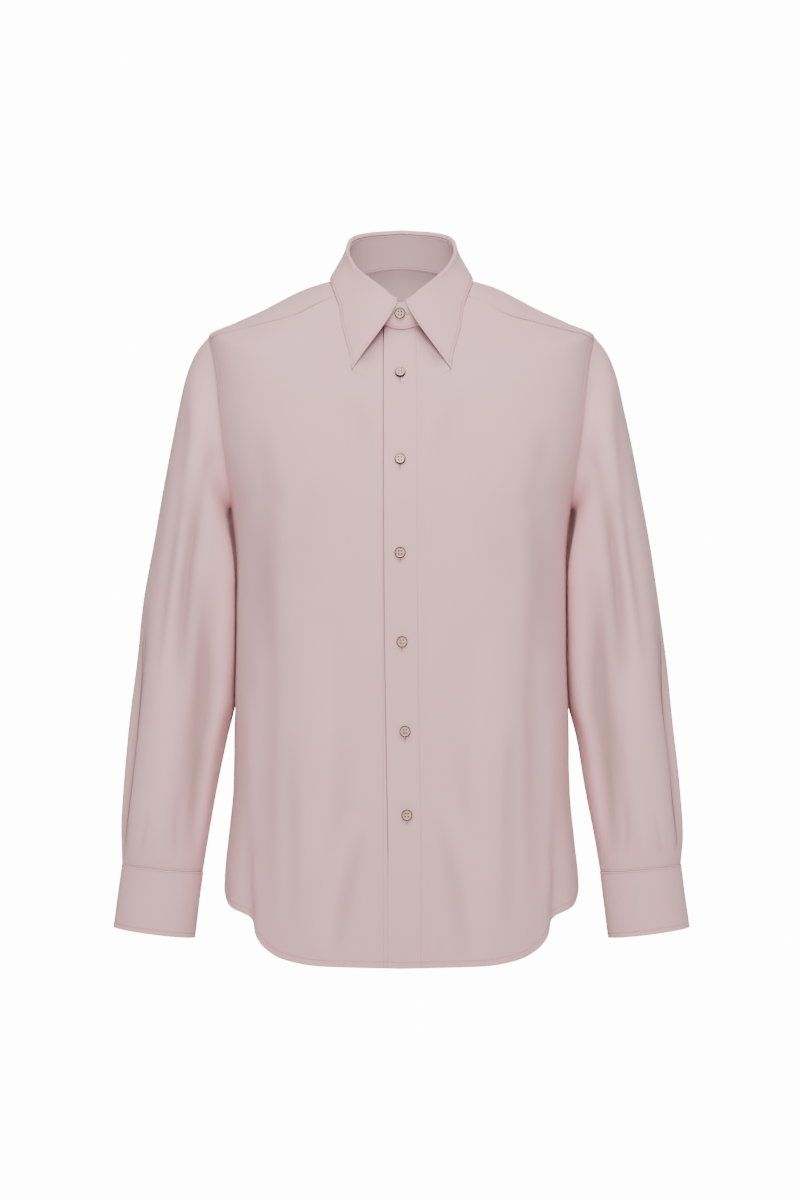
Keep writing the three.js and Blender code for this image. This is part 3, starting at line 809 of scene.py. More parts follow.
@dataclass(frozen=True)
class SeamLine:
    """A line of stitching at an inset from an edge of the cloth; a long step is a break in the edge."""

    edge: Array
    inset: float
    inward: "Array | None" = None
    broken: float = 25.0

    def near(self, point: Array) -> tuple[Array, Array]:
        """Returns each point's distance from the line and its place along it.

        Args:
            point: Places on the cloth.

        Returns:
            The distances, below zero on the inward side if that is given, and the places.
        """
        best = np.full(len(point), 1e9)
        where = np.zeros(len(point))
        sign = np.ones(len(point))
        run = 0.0
        for k, (start, end) in enumerate(zip(self.edge[:-1], self.edge[1:])):
            way = end - start
            long = max(float(np.linalg.norm(way)), 1e-6)
            if long > self.broken:
                run += long
                continue
            share = np.clip((point - start) @ way / long**2, 0.0, 1.0)
            away = point - start - share[:, None] * way
            gap = (away**2).sum(axis=1)
            closer = gap < best
            if self.inward is not None:
                sign = np.where(closer, np.where(away @ self.inward[k] > 0, -1.0, 1.0), sign)
            best = np.where(closer, gap, best)
            where = np.where(closer, run + share * long, where)
            run += long
        return sign * np.sqrt(best) - self.inset, where


class Held(Enum):
    """How a sheet of cloth is held once it is sewn in."""

    HUNG = "hung"
    DRAPED = "draped"
    FOLDED = "folded"
    LAID = "laid"


@dataclass(frozen=True)
class ClothCut:
    """The flat cut of one sheet: its width and length in millimetres, and its area in square metres."""

    width: float
    length: float
    area: float
    held: Held = Held.HUNG

    def state(self, made: bpy.types.Object) -> None:
        """Works out the cut's width in metres and keeps nothing of it."""
        self.width * MM


CUTS = {
    "left_front_cloth": ClothCut(296, 792, 0.175),
    "right_front_cloth": ClothCut(297, 792, 0.174),
    "back_cloth": ClothCut(558, 649, 0.292),
    "yoke_cloth": ClothCut(626, 204, 0.077, Held.DRAPED),
    "collar_stand_cloth": ClothCut(457, 40, 0.0132, Held.DRAPED),
    "collar_leaf_cloth": ClothCut(523, 99, 0.0226, Held.FOLDED),
    **{side + "_sleeve_cloth": ClothCut(467, 580, 0.174) for side in SIDES.values()},
    **{side + "_cuff_cloth": ClothCut(269, 71, 0.0186) for side in SIDES.values()},
    **{side + "_placket_cloth": ClothCut(29.5, 110, 0.003, Held.LAID) for side in SIDES.values()},
}


NO_LINE = SeamLine(np.zeros((2, 3)), -1000.0)


@dataclass(frozen=True)
class Sheet:
    """A wall of cloth over a grid of places, given thickness and rounded at its edges."""

    name: str
    node: str
    columns: Array
    rows: Array
    place: Place
    thick: float
    seams: tuple[SeamLine, ...] = ()
    laps: tuple[SeamLine, ...] = ()
    hollow: "Callable[[Array, Array], Array] | None" = None
    way: Way = Way.OUT
    loop: bool = False
    edge: float = 0.3
    inner: "bpy.types.Material | None" = None

    def build(self, material: bpy.types.Material) -> bpy.types.Object:
        """Makes the sheet.

        Args:
            material: Its finish.

        Returns:
            The finished object; its node's own part is hidden.
        """
        many, tall = len(self.columns), len(self.rows)
        bm = bmesh.new()
        bmesh.ops.create_grid(bm, x_segments=many - 1, y_segments=tall - 1, size=0.5)
        mesh = smooth_mesh(bm, self.name)
        flat = np.zeros(len(mesh.vertices) * 3)
        mesh.vertices.foreach_get("co", flat)
        flat = flat.reshape(-1, 3)
        i = np.rint((flat[:, 0] + 0.5) * (many - 1)).astype(int)
        j = np.rint((flat[:, 1] + 0.5) * (tall - 1)).astype(int)
        u, v = self.columns[i], self.rows[j]
        point, _ = self.place(u, v)
        mesh.vertices.foreach_set("co", (point * MM).ravel())
        self._map_cloth(mesh, point, i, j)
        self._note(mesh, "stitch_gap", "stitch_run", self.seams, point)
        # Distances from the edges that lie on this sheet, beside which the cloth shader paints shadow.
        self._note(mesh, "lap_gap", None, self.laps, point)
        # Crease heights, which the cloth shader turns into painted shade in troughs and painted light on
        # ridges.
        layer = mesh.attributes.new("hollow", "FLOAT", "POINT")
        layer.data.foreach_set("value", np.zeros(len(point)) if self.hollow is None else self.hollow(u, v))
        mesh.update()
        if self.loop:
            self._close(mesh)
        LOG.info("%s area %.4f m2", self.name, sum(face.area for face in mesh.polygons))
        made = add_object(self.name, mesh, material)
        wall = made.modifiers.new("wall", "SOLIDIFY")
        wall.thickness = self.thick * MM
        wall.offset = self.way.value
        wall.use_even_offset = False
        # The inner shell takes the inner finish, with its painted shade.
        if self.inner is not None:
            mesh.materials.append(self.inner)
            wall.material_offset = 1
        soft = made.modifiers.new("edge", "BEVEL")
        soft.width = self.edge * MM
        soft.segments = 2
        soft.limit_method = "ANGLE"
        soft.angle_limit = math.radians(60)
        CUTS[self.name].state(made)
        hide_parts(self.node)
        return made

    def _map_cloth(self, mesh: bpy.types.Mesh, point: Array, i: Array, j: Array) -> None:
        """Lays the weave on the sheet: a map in metres along its columns and rows."""
        grid = np.zeros((len(self.columns), len(self.rows), 3))
        grid[i, j] = point * MM
        across = np.linalg.norm(np.diff(grid, axis=0), axis=2).mean(axis=1)
        up = np.linalg.norm(np.diff(grid, axis=1), axis=2).mean(axis=0)
        u = np.concatenate([[0.0], np.cumsum(across)])
        v = np.concatenate([[0.0], np.cumsum(up)])
        corner = np.zeros(len(mesh.loops), np.int32)
        mesh.loops.foreach_get("vertex_index", corner)
        layer = mesh.uv_layers.new(name="cloth")
        layer.data.foreach_set("uv", np.stack([u[i[corner]], v[j[corner]]], axis=1).ravel())

    @staticmethod
    def _note(
        mesh: bpy.types.Mesh, gap_name: str, run_name: "str | None", lines: Sequence[SeamLine], point: Array
    ) -> None:
        """Keeps each point's distance from up to three lines, and its place along them if that is named."""
        gaps = np.full((len(point), 3), FAR)
        runs = np.zeros((len(point), 3))
        for k, line in enumerate(lines):
            gaps[:, k], runs[:, k] = line.near(point)
        for name, values in ((gap_name, gaps), (run_name, runs)):
            if name is not None:
                layer = mesh.attributes.new(name, "FLOAT_VECTOR", "POINT")
                layer.data.foreach_set("vector", values.ravel())

    @staticmethod
    def _close(mesh: bpy.types.Mesh) -> None:
        """Joins the first column to the last."""
        bm = bmesh.new()
        bm.from_mesh(mesh)
        bmesh.ops.remove_doubles(bm, verts=bm.verts, dist=2e-6)
        bm.to_mesh(mesh)
        bm.free()


@dataclass(frozen=True)
class Bead:
    """One stitch of thread, half sunk in the cloth."""

    long: float = 2.3
    wide: float = 0.42
    high: float = 0.3


@dataclass(frozen=True)
class StitchLine:
    """A row of machine stitches along a line on the cloth."""

    point: Array
    out: Array
    pitch: float = 3.2
    bead: Bead = Bead()

    def sew(self, bm: bmesh.types.BMesh) -> None:
        """Adds the stitches to a mesh."""
        step = np.linalg.norm(np.diff(self.point, axis=0), axis=1)
        run = np.concatenate([[0.0], np.cumsum(step)])
        count = max(2, int(run[-1] / self.pitch))
        at = (np.arange(count) + 0.5) * run[-1] / count
        middle, ahead, before = (self._along(run, self.point, at + d) for d in (0.0, 0.4, -0.4))
        out = unit(self._along(run, self.out, at))
        along = unit(ahead - before)
        aside = unit(np.cross(out, along))
        half = np.array([self.bead.long, self.bead.wide, self.bead.high]) / 2
        for centre, x, y, z in zip(middle, along, aside, out):
            turn = Matrix((x * half[0], y * half[1], z * half[2])).transposed().to_4x4()
            place = Matrix.Scale(MM, 4) @ Matrix.Translation(Vector(centre)) @ turn
            bmesh.ops.create_icosphere(bm, subdivisions=1, radius=1.0, matrix=place)

    @staticmethod
    def _along(run: Array, rows: Array, at: Array) -> Array:
        """Returns rows read at lengths along a line."""
        return np.stack([np.interp(at, run, rows[:, k]) for k in range(3)], axis=1)


def sewn(name: str, lines: Sequence[StitchLine], material: bpy.types.Material) -> bpy.types.Object:
    """Makes one object of several rows of stitches."""
    bm = bmesh.new()
    for line in lines:
        line.sew(bm)
    bmesh.ops.recalc_face_normals(bm, faces=bm.faces)
    return add_object(name, smooth_mesh(bm, name), material)


def course(place: Place, start: Spot, end: Spot, steps: int) -> tuple[Array, Array]:
    """Returns points and outward directions of a piece along a course over its own numbers.

    Args:
        place: The piece's surface.
        start: The course's first pair of numbers.
        end: Its last pair.
        steps: How many places lie on it.

    Returns:
        The points and the directions.
    """
    return place(np.linspace(start[0], end[0], steps), np.linspace(start[1], end[1], steps))


def seam(place: Place, start: Spot, end: Spot, inset: float, steps: int = 300) -> SeamLine:
    """Returns a line of stitching at an inset from a course."""
    return SeamLine(course(place, start, end, steps)[0], inset)


def stitched(place: Place, start: Spot, end: Spot, lift: float, steps: int = 300) -> StitchLine:
    """Returns a row of stitches along a course, lifted off the surface."""
    point, out = course(place, start, end, steps)
    return StitchLine(point + out * lift, out)


# Pieces of the shirt.
@dataclass
class Body:
    """The two fronts and the back: panels between the side seams, armholes, yoke and hem."""

    creases_front: tuple[Crease, ...] = (
        Crease((-141, -300), (-143, -668), 8, -2.6, 3),
        Crease((139, -310), (142, -668), 8, -2.6, -3),
        Crease((-160, -430), (-157, -668), 6, 1.8),
        Crease((159, -440), (156, -668), 6, 1.8),
        Crease((-84, -716), (-52, -560), 9, 2.2, 4),
        Crease((-68, -720), (-38, -580), 8, -2.0, 3),
        Crease((83, -718), (50, -530), 10, 2.4, -4),
        Crease((66, -722), (38, -570), 8, -1.9, -3),
        Crease((-138, -215), (-146, -410), 13, -3.0, -4),
        Crease((139, -220), (147, -410), 13, -2.8, 4),
        Crease((-92, -210), (-104, -330), 18, -0.9, -5),
        Crease((95, -215), (106, -330), 18, -0.9, 5),
        Crease((-60, -120), (-30, -190), 12, -0.9, 4),
        Crease((64, -122), (36, -200), 12, -0.9, -4),
        Crease((-150, -150), (-128, -250), 12, -1.8, -5),
        Crease((150, -150), (129, -250), 12, -1.8, 5),
        Crease((-92, -360), (-97, -640), 14, 2.0, 5),
        Crease((94, -370), (98, -650), 14, 2.0, -5),
        Crease((-118, -480), (-114, -700), 8, -2.2, 3),
        Crease((117, -460), (114, -700), 8, -2.2, -3),
        Crease((-64, -470), (-70, -700), 11, -1.3, 4),
        Crease((66, -480), (72, -705), 11, -1.3, -4),
    )
    creases_back: tuple[Crease, ...] = (
        Crease((-135, -260), (-128, -660), 9, -1.6, 5),
        Crease((133, -250), (129, -650), 9, -1.6, -5),
        Crease((-60, -160), (-72, -600), 14, 1.2, 6),
        Crease((58, -170), (70, -620), 14, 1.2, -6),
        Crease((-20, -300), (-26, -700), 10, -1.0, 4),
        Crease((24, -280), (28, -690), 10, -1.0, -4),
        Crease((-95, -420), (-100, -700), 7, 1.0, 3),
        Crease((96, -400), (102, -700), 7, 1.0, -3),
        Crease((-150, -140), (-110, -250), 12, -1.1, 6),
        Crease((150, -140), (112, -250), 12, -1.1, -6),
    )
    hem_inset: float = 6.5
    hem_row: float = -733.4
    armhole_inset: float = 10.0
    band_column: float = -0.015
    yoke_inset: float = 1.6
    lap_reference: float = 30.0
    leaf_lap: tuple[SeamLine, ...] = ()

    def relief(self, point: Array, front: bool) -> Array:
        """Returns how far creases and slow waves move the cloth out."""
        creases = self.creases_front if front else self.creases_back
        x, z = point[..., 0], point[..., 2]
        still = ease((np.abs(x + 1.0) - 20.0) / 30.0) if front else 1.0
        slow = rippled(x, z * 0.45, 95, 1.0 if front else 3.0) * 0.7
        fine = rippled(x, z * 0.7, 38, 2.0) * 0.18
        return creased(creases, x, z) * still + (slow + fine) * (0.25 + 0.75 * still)

    @staticmethod
    def hollows(place: Place, creases: tuple[Crease, ...]) -> Callable[[Array, Array], Array]:
        """Returns a function that gives the creases' height over a panel's own numbers."""

        def height(u: Array, v: Array) -> Array:
            """Returns the creases' height."""
            point, _ = place(u, v)
            return creased(creases, point[:, 0], point[:, 2])

        return height

    def border(self, side: Array) -> Array:
        """Returns the angle of the front's outer edge: side seam, armhole, then yoke seam."""
        edge = 90 - gap_turn(CUT.seam / 2, side)
        armhole = ARMHOLE.turn(ARMHOLE.angle(side))
        yoke = YOKE_SEAM.read("turn", side) - gap_turn(0.25, side)
        return np.where(side < ARMHOLE.low + 0.01, edge, np.where(side < CUT.yoke_corner, armhole, yoke))

    @staticmethod
    def levels(level: Array, turn: Array) -> Array:
        """Returns ring heights, with the rows below the hem zone's top drawn to the hem's curve."""
        share = (level - CUT.hem_low) / (CUT.hem_top - CUT.hem_low)
        return np.where(level < CUT.hem_top, mix(BODY.hem(turn), CUT.hem_top, share), level)

    def front_place(self, over: bool) -> Place:
        """Returns the surface of one front; -1 to 0 is its band, 0 to 1 the rest."""
        way = 1 if over else -1

        def place(u: Array, level: Array) -> tuple[Array, Array]:
            """Returns the front's points and outward directions."""
            row = np.maximum(level, CUT.hem_top)
            edge = BAND_EDGE.read("x", row) if over else np.full(row.shape, CUT.under_reach)
            start = BODY.turn_at(way * edge, row)
            inside = BODY.turn_at(way * edge + CUT.band_wide, row)
            turn = np.where(u < 0, mix(inside, start, -u), mix(inside, self.border(row), u))
            side = self.levels(level, turn)
            point = BODY.point(way * turn, side)
            out = BODY.out(way * turn, side)
            lift = self.relief(point, True)
            if over:
                past = (point[..., 0] - edge - CUT.band_wide) / CUT.band_ease
                lift = lift + CUT.band_lift * (1 - ease(past))
            return point + out * lift[..., None], out

        return place

    def back_place(self, u: Array, level: Array) -> tuple[Array, Array]:
        """Returns the back's surface from side seam to side seam."""
        row = np.maximum(level, CUT.hem_top)
        armhole = ARMHOLE.turn(-ARMHOLE.angle(row))
        border = np.where(row < ARMHOLE.low + 0.01, 90 + gap_turn(CUT.seam / 2, row), armhole)
        turn = mix(border, 360 - border, u)
        side = self.levels(level, turn)
        point = BODY.point(turn, side)
        out = BODY.out(turn, side)
        return point + out * self.relief(point, False)[..., None], out

    def lower_rows(self, corner: float) -> list[Array]:
        """Returns the rows from the hem to the armhole's corner."""
        hem = spread([CUT.hem_low, CUT.hem_low + 6, CUT.hem_top], 3.4)
        armhole = ARMHOLE.side(np.linspace(180, corner, 76)[1:])
        return [hem, spread([CUT.hem_top, ARMHOLE.low], 3.2)[1:], armhole]

    def front(self, over: bool, finishes: Finishes) -> bpy.types.Object:
        """Builds one front; over is the wearer's left one, whose band lies on the other."""
        columns = np.concatenate(
            [np.linspace(-1, -0.12, 15), np.linspace(-0.1, 0.05, 15), np.linspace(0.06, 1, 74)]
        )
        upper = spread([CUT.yoke_corner, CUT.neck], 2.6)[1:]
        place = self.front_place(over)
        rim = ARMHOLE.edge(np.linspace(180, CUT.corner_front, 220), 1 if over else -1)
        seams = (
            SeamLine(rim, self.armhole_inset),
            seam(place, (-1, CUT.hem_low), (-1, CUT.neck), CUT.band_wide - 0.6, 420),
            seam(place, (-1, CUT.hem_low), (1, CUT.hem_low), self.hem_inset),
        )
        # The band's folded edge, beside which the under front takes a painted shadow.
        tall = np.linspace(CUT.hem_low, CUT.neck, 420)
        edge = BAND_EDGE.read("x", tall) + self.lap_reference
        fold = SeamLine(BODY.point(BODY.turn_at(edge, tall), tall), self.lap_reference)
        return Sheet(
            SIDES[over] + "_front_cloth",
            "front_" + SIDES[over],
            columns if over else columns[::-1],
            np.concatenate([*self.lower_rows(CUT.corner_front), upper]),
            place,
            CUT.cloth,
            seams,
            (NO_LINE if over else fold, *self.leaf_lap),
            self.hollows(place, self.creases_front),
            inner=finishes.inside,
        ).build(finishes.cloth)

    def back(self, finishes: Finishes) -> bpy.types.Object:
        """Builds the back."""
        rows = np.concatenate(self.lower_rows(CUT.corner_back))
        rows[-1] -= 0.2
        angles = -np.linspace(180, CUT.corner_back, 200)
        rim = np.concatenate([ARMHOLE.edge(angles), ARMHOLE.edge(angles, -1)[::-1]])
        seams = (
            SeamLine(rim, self.armhole_inset),
            seam(self.back_place, (0, rows[-1]), (1, rows[-1]), self.yoke_inset, 400),
            seam(self.back_place, (0, CUT.hem_low), (1, CUT.hem_low), self.hem_inset, 400),
        )
        return Sheet(
            "back_cloth",
            "back",
            np.linspace(0, 1, 150),
            rows,
            self.back_place,
            CUT.cloth,
            seams,
            (),
            self.hollows(self.back_place, self.creases_back),
            inner=finishes.inside,
        ).build(finishes.cloth)

    def armhole_stitches(self, front: bool, way: int) -> StitchLine:
        """Returns the topstitching beside one armhole, on the front or the back."""
        angles = np.linspace(176, 42, 200) if front else -np.linspace(176, 66, 160)
        point, out = TOPSTITCH_OVAL.edge(angles, way), TOPSTITCH_OVAL.edge_out(angles, way)
        lift = self.relief(point, front) + CUT.stitch_lift
        return StitchLine(point + out * lift[:, None], out)

    def stitches(self, finishes: Finishes) -> bpy.types.Object:
        """Sews the band, armholes and hem of the body."""
        lift = CUT.stitch_lift
        low, high = CUT.hem_low + 2, CUT.neck - 5
        lines = []
        for over, way in ((True, 1), (False, -1)):
            place = self.front_place(over)
            lines.append(stitched(place, (-0.99, self.hem_row), (0.995, self.hem_row), lift, 260))
            lines.append(self.armhole_stitches(True, way))
        over = self.front_place(True)
        lines.append(stitched(over, (self.band_column, low), (self.band_column, high), lift, 400))
        lines.append(stitched(self.back_place, (0.005, self.hem_row), (0.995, self.hem_row), lift, 400))
        lines += [self.armhole_stitches(False, way) for way in (1, -1)]
        return sewn("body_stitching", lines, finishes.thread)

    def build(self, finishes: Finishes) -> list[bpy.types.Object]:
        """Builds the three panels and their stitching."""
        panels = [self.front(True, finishes), self.front(False, finishes), self.back(finishes)]
        return [*panels, self.stitches(finishes)]


@dataclass
class Yoke:
    """The shoulder piece, from the front seams over the shoulders and round the back of the neck."""

    body: Body
    levels: tuple[float, ...] = (-62, -56, -46, -34, -20, -6, 8)
    neck_turn: float = 60.0
    shoulder_turn: float = 122.0
    low_turn: float = 80.8
    fine: float = 0.0125
    armhole_inset: float = 9.0
    seam_inset: float = 1.8

    def surface(self, u: Array, v: Array) -> tuple[Array, Array]:
        """Returns turn and ring height; u is 0 to 2 across, v 0 to 6 from the outer edge to the neck."""
        half = np.minimum(u, 2 - u)
        shoulder = np.minimum(1.0, half / 0.5)
        behind = np.maximum(0.0, (half - 0.5) / 0.5)
        angle = mix(CUT.corner_front, -CUT.corner_back, shoulder)
        corner = float(ARMHOLE.turn(-CUT.corner_back))
        outer = np.where(behind > 0, mix(corner, 180, behind), ARMHOLE.turn(angle))
        round_back = mix(self.shoulder_turn, 180, behind)
        neck = np.where(behind > 0, round_back, mix(self.neck_turn, self.shoulder_turn, shoulder))
        low = ARMHOLE.side(angle) + 0.2 * ((behind > 0) | (shoulder >= 1))
        upper = np.interp(v, np.arange(len(self.levels)), self.levels)
        side = np.where(v < 1, mix(low, ARMHOLE.top, v), upper)
        run = (side - low) / (CUT.neck - low)
        at = np.where(shoulder > 0, mix(CUT.yoke_corner, CUT.neck, run), side)
        bend = (YOKE_SEAM.read("turn", at) - mix(self.low_turn, self.neck_turn, run)) * (1 - shoulder) ** 2
        gap = (1 - shoulder) ** 2 * gap_turn(0.25, side)
        turn = mix(outer, neck, run) + bend + gap
        return np.where(u > 1, 360 - turn, turn), side

    def place(self, u: Array, v: Array) -> tuple[Array, Array]:
        """Returns the yoke's points and outward directions."""
        turn, side = self.surface(u, v)
        point = BODY.point(turn, side)
        out = BODY.out(turn, side)
        lift = rippled(point[..., 0], point[..., 1], 80, 5.0) * 0.35
        return point + out * lift[..., None], out

    def joined(self, pairs: Sequence[tuple[Spot, Spot]], inset: float, steps: int) -> SeamLine:
        """Returns one line of stitching along several courses, end to end."""
        return SeamLine(np.concatenate([course(self.place, *pair, steps)[0] for pair in pairs]), inset)

    def build(self, finishes: Finishes) -> list[bpy.types.Object]:
        """Builds the yoke and its stitching."""
        seams = (
            self.joined((((0, 0), (0.5, 0)), ((1.5, 0), (2, 0))), self.armhole_inset, 160),
            seam(self.place, (0.5, 0), (1.5, 0), self.seam_inset, 400),
            self.joined((((0, 0), (0, 6)), ((2, 6), (2, 0))), self.seam_inset, 120),
        )
        made = Sheet(
            "yoke_cloth",
            "yoke",
            spread([0, 0.5, 1.5, 2], self.fine),
            spread([0, 1, 2, 3, 4, 5, 6], 0.12),
            self.place,
            CUT.cloth,
            seams,
            (NO_LINE, *self.body.leaf_lap),
            inner=finishes.inside,
        ).build(finishes.cloth)
        lift = CUT.stitch_lift
        lines = [stitched(self.place, (0.5, 0.14), (1.5, 0.14), lift, 400)]
        lines += [stitched(self.place, (column, 0), (column, 6), lift, 120) for column in (0.012, 1.988)]
        return [made, sewn("yoke_stitching", lines, finishes.thread)]


SLEEVE_RINGS = SizeTable(
    ("along", "outHigh", "out", "inHigh", "inner", "mid", "deep", "square"),
    (
        (0, -120, 236.6, -262, 187.5, 4, 61, 0.1),
        (0.1, -175, 248, -290, 183.8, 5, 66, 0.2),
        (0.25, -250, 261.8, -336, 180.6, 4, 67, 0.25),
        (0.43, -353, 278.6, -400, 180.6, 0, 64, 0.2),
        (0.58, -430, 287, -450, 182.4, -5, 60, 0.15),
        (0.68, -483, 292.6, -489, 190, -10, 56, 0.1),
        (0.78, -535, 297.6, -537, 198, -16, 51, 0.1),
        (0.9, -588, 300.6, -592, 207.5, -23, 43, 0.1),
        (1, -622.6, 298.8, -630.6, 213.8, -27, 34.5, 0),
    ),
)
CUFF_RINGS = SizeTable(
    ("along", "outHigh", "out", "inHigh", "inner", "mid", "deep", "square"),
    (
        (0, -623.2, 298.4, -631.2, 214, -27, 34.5, 0),
        (1, -690.5, 307.2, -701.5, 222.6, -32, 33.5, 0),
    ),
)
SLEEVE_FOLDS = SizeTable(
    ("turn", "wide", "deep", "from", "to"),
    (
        (24, 12, -7.5, 0.38, 0.97),
        (62, 14, 2.5, 0.25, 0.95),
        (82, 13, -4, 0, 0.62),
        (112, 15, -5, 0.35, 0.98),
        (154, 16, 3.5, -0.1, 0.66),
        (140, 16, -3.5, 0.62, 0.98),
        (-40, 16, -5, 0.3, 0.96),
        (-110, 15, -4, 0.35, 0.95),
        (-134, 27, 19, -0.3, 0.9),
    ),
)


def oval(table: SizeTable, angle: Array, along: Array) -> Array:
    """Returns points of a sleeve or cuff ring: angle 0 outside, 90 in front, 180 against the body."""
    c, s = cos_deg(angle), sin_deg(angle)
    share = (1 + c) / 2
    return stacked(
        mix(table.read("inner", along), table.read("out", along), share),
        table.read("mid", along) - table.read("deep", along) * s * (1 + table.read("square", along) * c * c),
        mix(table.read("inHigh", along), table.read("outHigh", along), share),
    )


@dataclass
class Sleeve:
    """One long sleeve with its head, hanging tube, placket and cuff."""

    left: bool
    cap: float = 0.2
    creases: tuple[Crease, ...] = (
        Crease((21, -370), (30, -612), 5, -5.0, 1, 0.5),
        Crease((8, -390), (12, -610), 6, 2.0, 1),
        Crease((56, -220), (62, -430), 9, -4.5, 2),
        Crease((72, -250), (70, -440), 8, 2.2, -3),
        Crease((84, -235), (92, -430), 8, -4.0, -4),
        Crease((104, -310), (136, -612), 17, -6.0, 5, 0.8),
        Crease((118, -230), (150, -330), 14, 3.0, 4),
        Crease((143, -240), (145, -510), 12, 4.0),
        Crease((66, -400), (84, -600), 13, 2.0, 3),
        Crease((136, -430), (150, -612), 10, 3.5, 3),
        Crease((70, -560), (58, -618), 4, -1.6, 1),
        Crease((104, -550), (112, -618), 4, -1.6, -1),
        Crease((84, -570), (84, -620), 4, 1.0, 1),
        Crease((30, -110), (60, -260), 13, -2.2, 6),
        Crease((112, -160), (86, -300), 12, -2.4, -5),
        Crease((75, -100), (70, -240), 10, 1.4, -3),
        Crease((-30, -330), (-36, -600), 8, -1.4, 3),
        Crease((-75, -360), (-70, -600), 9, 1.2, -4),
        Crease((-105, -400), (-100, -612), 7, -1.3, 3),
        Crease((-140, -380), (-135, -600), 8, -1.0, -3),
        Crease((-60, -560), (-64, -618), 4, -1.0, 1),
        Crease((-40, -575), (-44, -620), 4, -0.9, 1),
    )

    pleat: tuple[Spot, Spot] = ((18.0, -385), (28.0, -600))
    cuff_turns: float = 394.0
    placket_angles: tuple[float, float] = (-98, -66)
    placket_rows: tuple[float, float] = (0.74, 0.985)
    placket_thick: float = 0.9

    @property
    def word(self) -> str:
        """The side's name."""
        return SIDES[self.left]

    def fold(self, angle: Array, along: Array) -> Array:
        """Returns how far the large folds move the cloth out."""
        total = np.zeros(np.broadcast(angle, along).shape)
        for turn, wide, deep, start, end in SLEEVE_FOLDS.rows:
            off = signed(angle - turn) / wide
            t = np.clip((along - start) / (end - start), 0, 1)
            total = total + deep * np.exp(-off * off) * np.sin(math.pi * t) ** 1.3
        return total

    def hanging(self, angle: Array, along: Array) -> Array:
        """Returns points of the hanging tube."""
        shift = stacked(cos_deg(angle), -sin_deg(angle), np.zeros_like(angle))
        return oval(SLEEVE_RINGS, angle, along) + shift * self.fold(angle, along)[..., None]

    def head(self, angle: Array, share: Array) -> Array:
        """Returns points of the head, from the armhole in line with the body into the tube."""
        start, out = ARMHOLE.edge(angle), ARMHOLE.edge_out(angle)
        tangent = unit(ARMHOLE.edge(angle + 0.2) - ARMHOLE.edge(angle - 0.2))
        leave = unit(np.cross(out, tangent))
        top = ((1 + cos_deg(angle)) / 2)[..., None]
        end = self.hanging(angle, np.zeros_like(angle))
        hang = unit(self.hanging(angle, np.full_like(angle, 0.012)) - end)
        reach, lean = mix(8, 15, top), mix(2, 14, top**4)
        a = start + leave * (CUT.seam + 0.1 + CUT.cloth * lean / np.hypot(lean, reach))
        b = start + leave * reach + out * lean
        c = end - hang * mix(20, 36, top)
        return curve(a, b, c, end, share[..., None])

    def surface(self, angle: Array, run: Array) -> Array:
        """Returns points of the whole sleeve; run is 0 at the armhole and 1 at the cuff."""
        angle, run = np.broadcast_arrays(np.asarray(angle, float), np.asarray(run, float))
        head = self.head(angle, np.clip(run, 0, self.cap) / self.cap)
        tube = self.hanging(angle, np.clip((run - self.cap) / (1 - self.cap), 0, 1))
        return np.where((run < self.cap)[..., None], head, tube)

    def place(self, angle: Array, run: Array) -> tuple[Array, Array]:
        """Returns the left sleeve's points with their creases, and outward directions."""
        angle, run = np.broadcast_arrays(np.asarray(angle, float), np.asarray(run, float))
        out = facing(self.surface, angle, np.clip(run, 0.0006, 0.9994), 0.2, 0.0005)
        point = self.surface(angle, run)
        seed = 1.0 if self.left else 6.0
        turn = signed(angle)
        slow = rippled(np.abs(turn), point[..., 2] * 0.6, 85, seed) * 0.7
        lift = creased(self.creases, turn, point[..., 2]) + slow * ease(run / 0.12) * ease((1 - run) / 0.06)
        return point + out * lift[..., None], out

    def run_at(self, angle: float, z: float) -> float:
        """Returns the run at which the sleeve passes a height, at an angle."""
        runs = np.linspace(self.cap, 1, 300)
        high = self.surface(np.full(300, angle), runs)[:, 2]
        return float(np.interp(-z, -high, runs))

    def arm(self, place: Place) -> Place:
        """Returns a left-arm surface on this arm: the right arm is its mirror image."""
        if self.left:
            return place

        def mirrored(u: Array, v: Array) -> tuple[Array, Array]:
            """Returns points and directions on the right arm."""
            point, out = place(u, v)
            flip = np.array([-1.0, 1.0, 1.0])
            return point * flip, out * flip

        return mirrored

    def order(self, columns: Array) -> Array:
        """Returns columns in the order that keeps this arm's cloth facing out."""
        return columns if self.left else columns[::-1]

    def hollow(self, u: Array, v: Array) -> Array:
        """Returns the height of the creases, and half that of the large folds, for painted shade in troughs
        and painted light on ridges.
        """
        point, _ = self.place(u, v)
        small = creased(self.creases, signed(u), point[:, 2])
        return small + 0.5 * self.fold(u, (v - self.cap) / (1 - self.cap)) * (np.abs(signed(u)) < 125)

    def pleat_line(self, place: Place) -> SeamLine:
        """Returns the line beside which one side of the pleat above the cuff takes a painted shadow."""
        (first, high), (last, low) = self.pleat
        runs = self.run_at(first, high), self.run_at(last, low)
        fold, _ = course(place, (first, runs[0]), (last, runs[1]), 80)
        beside, _ = course(place, (first + 4, runs[0]), (last + 4, runs[1]), 80)
        return SeamLine(fold, 0.0, beside - fold)

